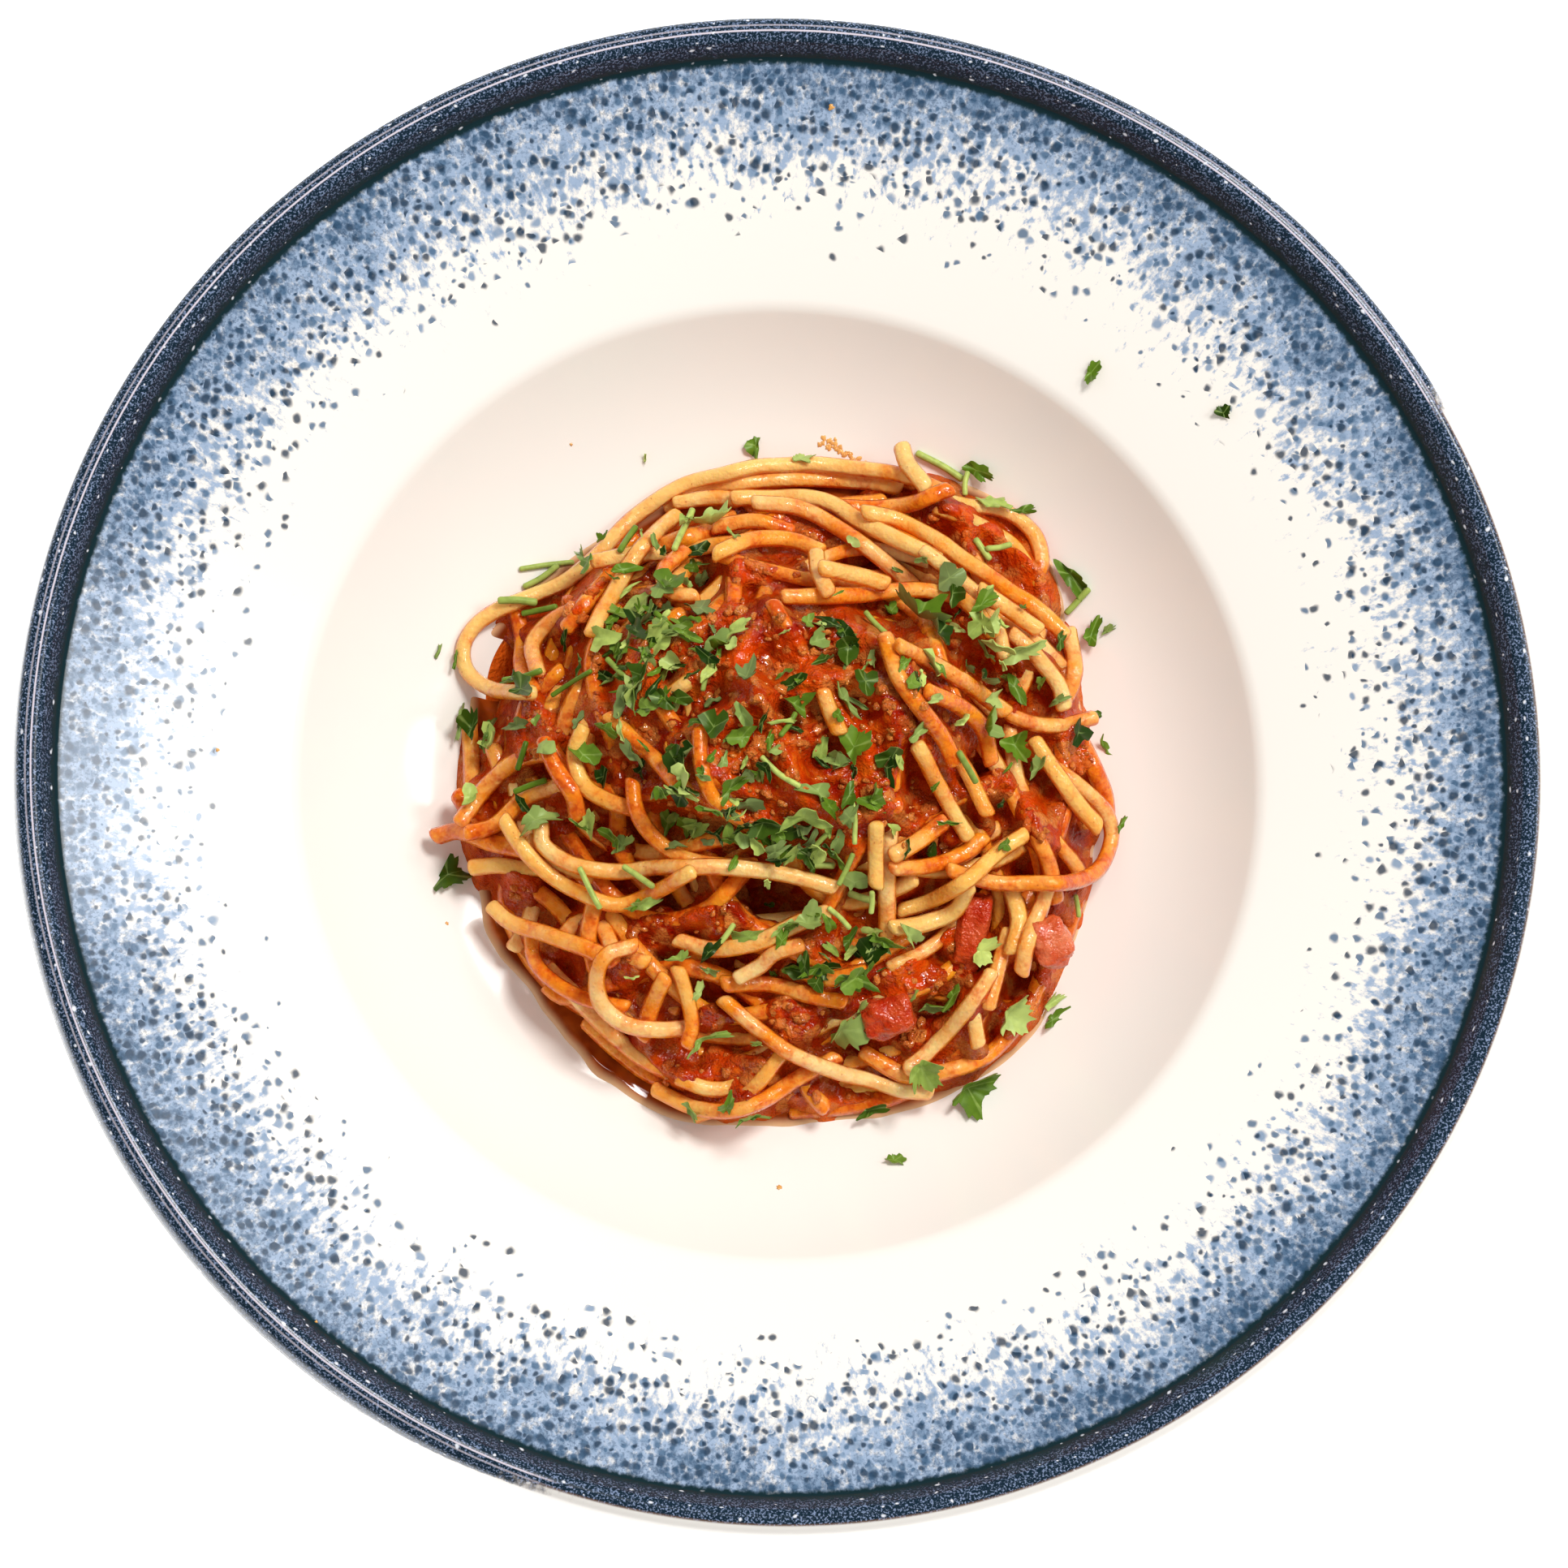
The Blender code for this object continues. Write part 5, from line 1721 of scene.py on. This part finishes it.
PLACED_STEMS = (
    Sprig(-42, 39, 9.5, 8, 0.8),
    Sprig(-43, 37, 7.0, 30, 0.8),
    Sprig(-17, 45, 7.5, 70, 0.9),
    Sprig(-27, 43.5, 5.0, 62, 0.6),
    Sprig(-19, 27, 7.5, -35, 0.55),
    Sprig(-13, 18, 5.0, 80, 0.8),
    Sprig(29.5, 57, 9.0, -32, 0.85),
    Sprig(34.5, 54, 4.0, 85, 0.9),
    Sprig(37, 41.5, 4.0, -55, 0.85),
    Sprig(39.8, 42.3, 4.5, 10, 0.85),
    Sprig(54, 32.5, 5.5, 42, 0.75),
    Sprig(18, 27, 7.0, -50, 0.75),
    Sprig(0, 1, 8.0, -38, 0.95),
    Sprig(12.7, -7, 8.5, 97, 0.95),
    Sprig(-1, -11, 6.0, 90, 0.7),
    Sprig(6.5, -12, 5.0, 48, 0.8),
    Sprig(11.5, -16, 5.5, 66, 0.75),
    Sprig(10.5, -25, 5.0, -45, 0.95),
    Sprig(14, -21.5, 4.0, -20, 0.9),
    Sprig(15.5, -23.5, 3.5, 90, 0.9),
    Sprig(7, -16, 4.0, 2, 0.85),
    Sprig(-10.5, -28.5, 6.5, 50, 0.9),
    Sprig(-34, -19.5, 7.5, -62, 0.85),
    Sprig(-25.5, -17.5, 6.0, -33, 0.85),
    Sprig(-18.5, -1.5, 6.5, 42, 0.55),
    Sprig(-46, 4, 5.0, 70, 0.3),
    Sprig(-44.5, -1.5, 6.0, 20, 0.45),
    Sprig(-47, 32, 6.0, -2, 0.75),
    Sprig(-43, 31, 6.0, 12, 0.6),
    Sprig(-46, 18.5, 7.0, 14, 0.6),
    Sprig(-29, 20, 4.5, -45, 0.7),
    Sprig(-37, 17, 8.0, 32, 0.55),
    Sprig(53.5, -22, 4.0, 95, 0.8),
    Sprig(33, 2, 6.0, -62, 0.7),
    Sprig(1.5, 9.5, 4.5, 62, 0.6),
)


# Drops of sauce on the bare plate: place and size, and the smear's line.
PLATE_SPECKS = ((9.5, 119.5, 0.55), (-59, -23.5, 0.35), (0, -71.5, 0.45), (-99.5, 4.5, 0.35), (-82, -97, 0.35), (-36.5, 63, 0.3))
PLATE_SMEAR = ((9.5, 64.5), (13.0, 62.5), (17.0, 59.8), (20.5, 57.5))


# ---------------------------------------------------------------------------------------------
# Studio
# ---------------------------------------------------------------------------------------------


@dataclass
class Studio:
    """Camera, floor and soft lights."""

    distance: float = 1.2
    lens: float = 156.9
    lean_left: float = math.radians(3.45)
    lean_near: float = math.radians(8.4)
    aim: tuple[float, float, float] = (-0.00018, -0.00304, 0.042)

    def camera(self) -> None:
        """Look down on the plate from the diner's side, the frame's top square to +Y."""
        back = Vector((-math.sin(self.lean_left), -math.sin(self.lean_near), 0.0))
        back.z = math.sqrt(1.0 - back.length_squared)
        right = (Vector((1.0, 0.0, 0.0)) - back * back.x).normalized()
        up = back.cross(right)
        target = right * self.aim[0] + up * self.aim[1] + Vector((0.0, 0.0, self.aim[2]))
        place = target + back * self.distance
        lens = bpy.data.cameras.new("camera")
        lens.lens, lens.sensor_width = self.lens, 36.0
        lens.clip_start, lens.clip_end = 0.05, 20.0
        made = bpy.data.objects.new("camera", lens)
        made.matrix_world = Matrix(
            [[right[k], up[k], back[k], place[k]] for k in range(3)] + [[0.0, 0.0, 0.0, 1.0]]
        )
        bpy.context.scene.collection.objects.link(made)
        bpy.context.scene.camera = made

    def light(self, name: str, azimuth: float, height: float, away: float, size: float, power: float) -> None:
        """A square soft light that faces the plate from an azimuth and a height in degrees."""
        turn, rise = math.radians(azimuth), math.radians(height)
        place = away * Vector((math.cos(turn) * math.cos(rise), math.sin(turn) * math.cos(rise), math.sin(rise)))
        lamp = bpy.data.lights.new(name, "AREA")
        lamp.energy, lamp.size = power, size
        made = bpy.data.objects.new(name, lamp)
        made.location = place
        made.rotation_euler = place.to_track_quat("Z", "Y").to_euler()
        bpy.context.scene.collection.objects.link(made)

    def floor(self, effects: Effects) -> bpy.types.Object:
        """A plain white floor under the plate."""
        corners = np.array([[-1, -1, -0.2], [1, -1, -0.2], [1, 1, -0.2], [-1, 1, -0.2]]) * [1500.0, 1500.0, 1.0]
        made = make_object("floor", corners, [np.array([[0, 1, 2, 3]])])
        PlainFinish("floor_white", 0.9, tone=Tone(255, 255, 255), glow=1.0).dress(made, effects)
        return made

    def world(self, strength: float) -> None:
        """Even white light from all round."""
        sky = bpy.data.worlds.new("studio")
        sky.use_nodes = True
        shade = sky.node_tree.nodes["Background"]
        shade.inputs["Color"].default_value = (1.0, 0.985, 0.97, 1.0)
        shade.inputs["Strength"].default_value = strength
        sky.cycles_visibility.glossy = False
        bpy.context.scene.world = sky

    def set_up(self, effects: Effects) -> None:
        """Camera, lights, floor and a plain view of the colours."""
        self.camera()
        self.light("key", 50.0, 62.0, 1.5, 0.36, 14.0)
        self.light("window", 13.0, 50.0, 1.6, 0.4, 4.8)
        self.world(0.53)
        self.floor(effects)
        bpy.context.scene.view_settings.view_transform = "Standard"


# ---------------------------------------------------------------------------------------------
# The dish
# ---------------------------------------------------------------------------------------------


@dataclass
class Dish:
    """The whole plate of food, built in the order it is served."""

    plate: Plate = field(default_factory=Plate)
    effects: Effects = field(default_factory=Effects)
    glaze: Finish = GlazeFinish("glaze", 0.15, coat_roughness=0.15, shine=0.22, slot="glazed_stoneware")
    pasta: Finish = PastaFinish(
        "pasta", 0.32, coat_roughness=0.1, shine=0.3, glint=Tone(255, 206, 140), scatter=0.5, scatter_reach=(0.0018, 0.0009, 0.0003), slot="spaghetti"
    )
    sauce: Finish = SauceFinish("meat sauce", 0.35, coat_roughness=0.05, shine=0.1, glint=Tone(255, 200, 150), scatter=0.1, slot="meat_sauce")
    pool: Finish = PoolFinish("pool", 0.08, shine=0.5, slot="pool_sauce")
    oil: Finish = PoolFinish("oily drops", 0.12, slot="pool_sauce", shallow=Tone(242, 182, 104))
    tomato: Finish = TomatoFinish(
        "tomato", 0.2, coat=0.8, coat_roughness=0.05, shine=0.4, glint=Tone(255, 210, 190), scatter=0.2, scatter_reach=(0.002, 0.0006, 0.0003), slot="tomato"
    )
    pale_tomato: Finish = TomatoFinish(
        "tomato pale", 0.22, coat=0.8, coat_roughness=0.05, shine=0.4, scatter=0.3, scatter_reach=(0.003, 0.001, 0.0006), slot="tomato",
        ripe=Tone(214, 84, 42), pale=Tone(234, 134, 90),
    )
    leaf: Finish = LeafFinish("parsley leaf", 0.34, shine=0.3, glint=Tone(235, 255, 200))

    def place(self, piece: bpy.types.Object, finish: Finish, *nodes: str) -> None:
        """Dress a piece and let it ride on the plate, in place of the named solids."""
        finish.dress(piece, self.effects)
        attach(piece, "root")
        if nodes:
            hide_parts(*nodes)

    def lay_strands(self, name: str, strands: Sequence[Strand], ground: Ground) -> None:
        """Lay strands in order and join them into one piece."""
        rng = seeded(name)
        pile = MeshPile()
        for strand in strands:
            strand.add_to(pile, strand.lay(ground), rng)
        self.place(pile.build(name), self.pasta, "spaghetti_heap")

    def build(self) -> None:
        """Plate, pool, loose strands, sauce, told-apart strands, chunks, crumbs and parsley."""
        heap = Heap(self.plate)
        self.place(self.plate.build(), self.glaze, "plate")
        self.place(Pool(self.plate, heap).build(), self.pool, "sauce_pool")

        splashes = Splashes(self.plate, PLATE_SPECKS, PLATE_SMEAR)
        self.place(splashes.build(), self.oil)

        ground = Ground(self.plate)
        ground.heights = np.maximum(ground.heights, heap.filled(ground.x, ground.y) - 9.5)
        low = LooseStrands(heap, 84, 52.0, (60, 150), (26, 60), (0.25, 0.75), heap.centre)
        high = LooseStrands(heap, 44, 27.0, (50, 130), (16, 32), (0.15, 0.6), heap.upper_centre)
        for name, bed in (("strands_low", low), ("strands_high", high)):
            pile = MeshPile()
            bed.lay(ground, pile, seeded(name))
            self.place(pile.build(name), self.pasta, "spaghetti_heap")
        self.lay_strands("strands_lower", [Strand(np.array(p, float), s) for s, p in LOWER_STRANDS], ground)

        meat = MeatSauce(ground, heap)
        height, grain, kind = meat.surface()
        ground.heights = np.maximum(ground.heights, height - 0.7)
        self.lay_strands("strands_upper", [Strand(np.array(p, float), s) for s, p in UPPER_STRANDS], ground)
        self.lay_strands("strands_crown", [Strand(np.array(p, float), s) for s, p in CROWN_STRANDS], ground)
        self.place(meat.build(height, grain, kind), self.sauce, "meat_sauce")

        chunks = (
            (TomatoChunk(1, 19.0, -42.5, (4.9, 3.8, 3.0), 20.0, -0.7), self.tomato),
            (TomatoChunk(2, 34.0, -27.0, (3.2, 6.8, 3.0), -12.0, -0.6), self.tomato),
            (TomatoChunk(3, 48.0, -29.5, (3.6, 4.8, 2.6), 25.0, -0.6), self.pale_tomato),
        )
        for chunk, finish in chunks:
            self.place(chunk.build(ground), finish, f"tomato_chunk_{chunk.number}")
        ground.heights = np.maximum(ground.heights, height)
        self.place(Crumbs(ground, height).build(), self.sauce)
        for piece in Parsley(ground).build(PLACED_LEAVES, PLACED_STEMS):
            self.place(piece, self.leaf)


def main() -> None:
    """Build the dish over its frame and light it."""
    logging.basicConfig(level=logging.INFO, format="%(message)s")
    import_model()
    dish = Dish()
    dish.build()
    Studio().set_up(dish.effects)


if __name__ == "__main__":
    main()
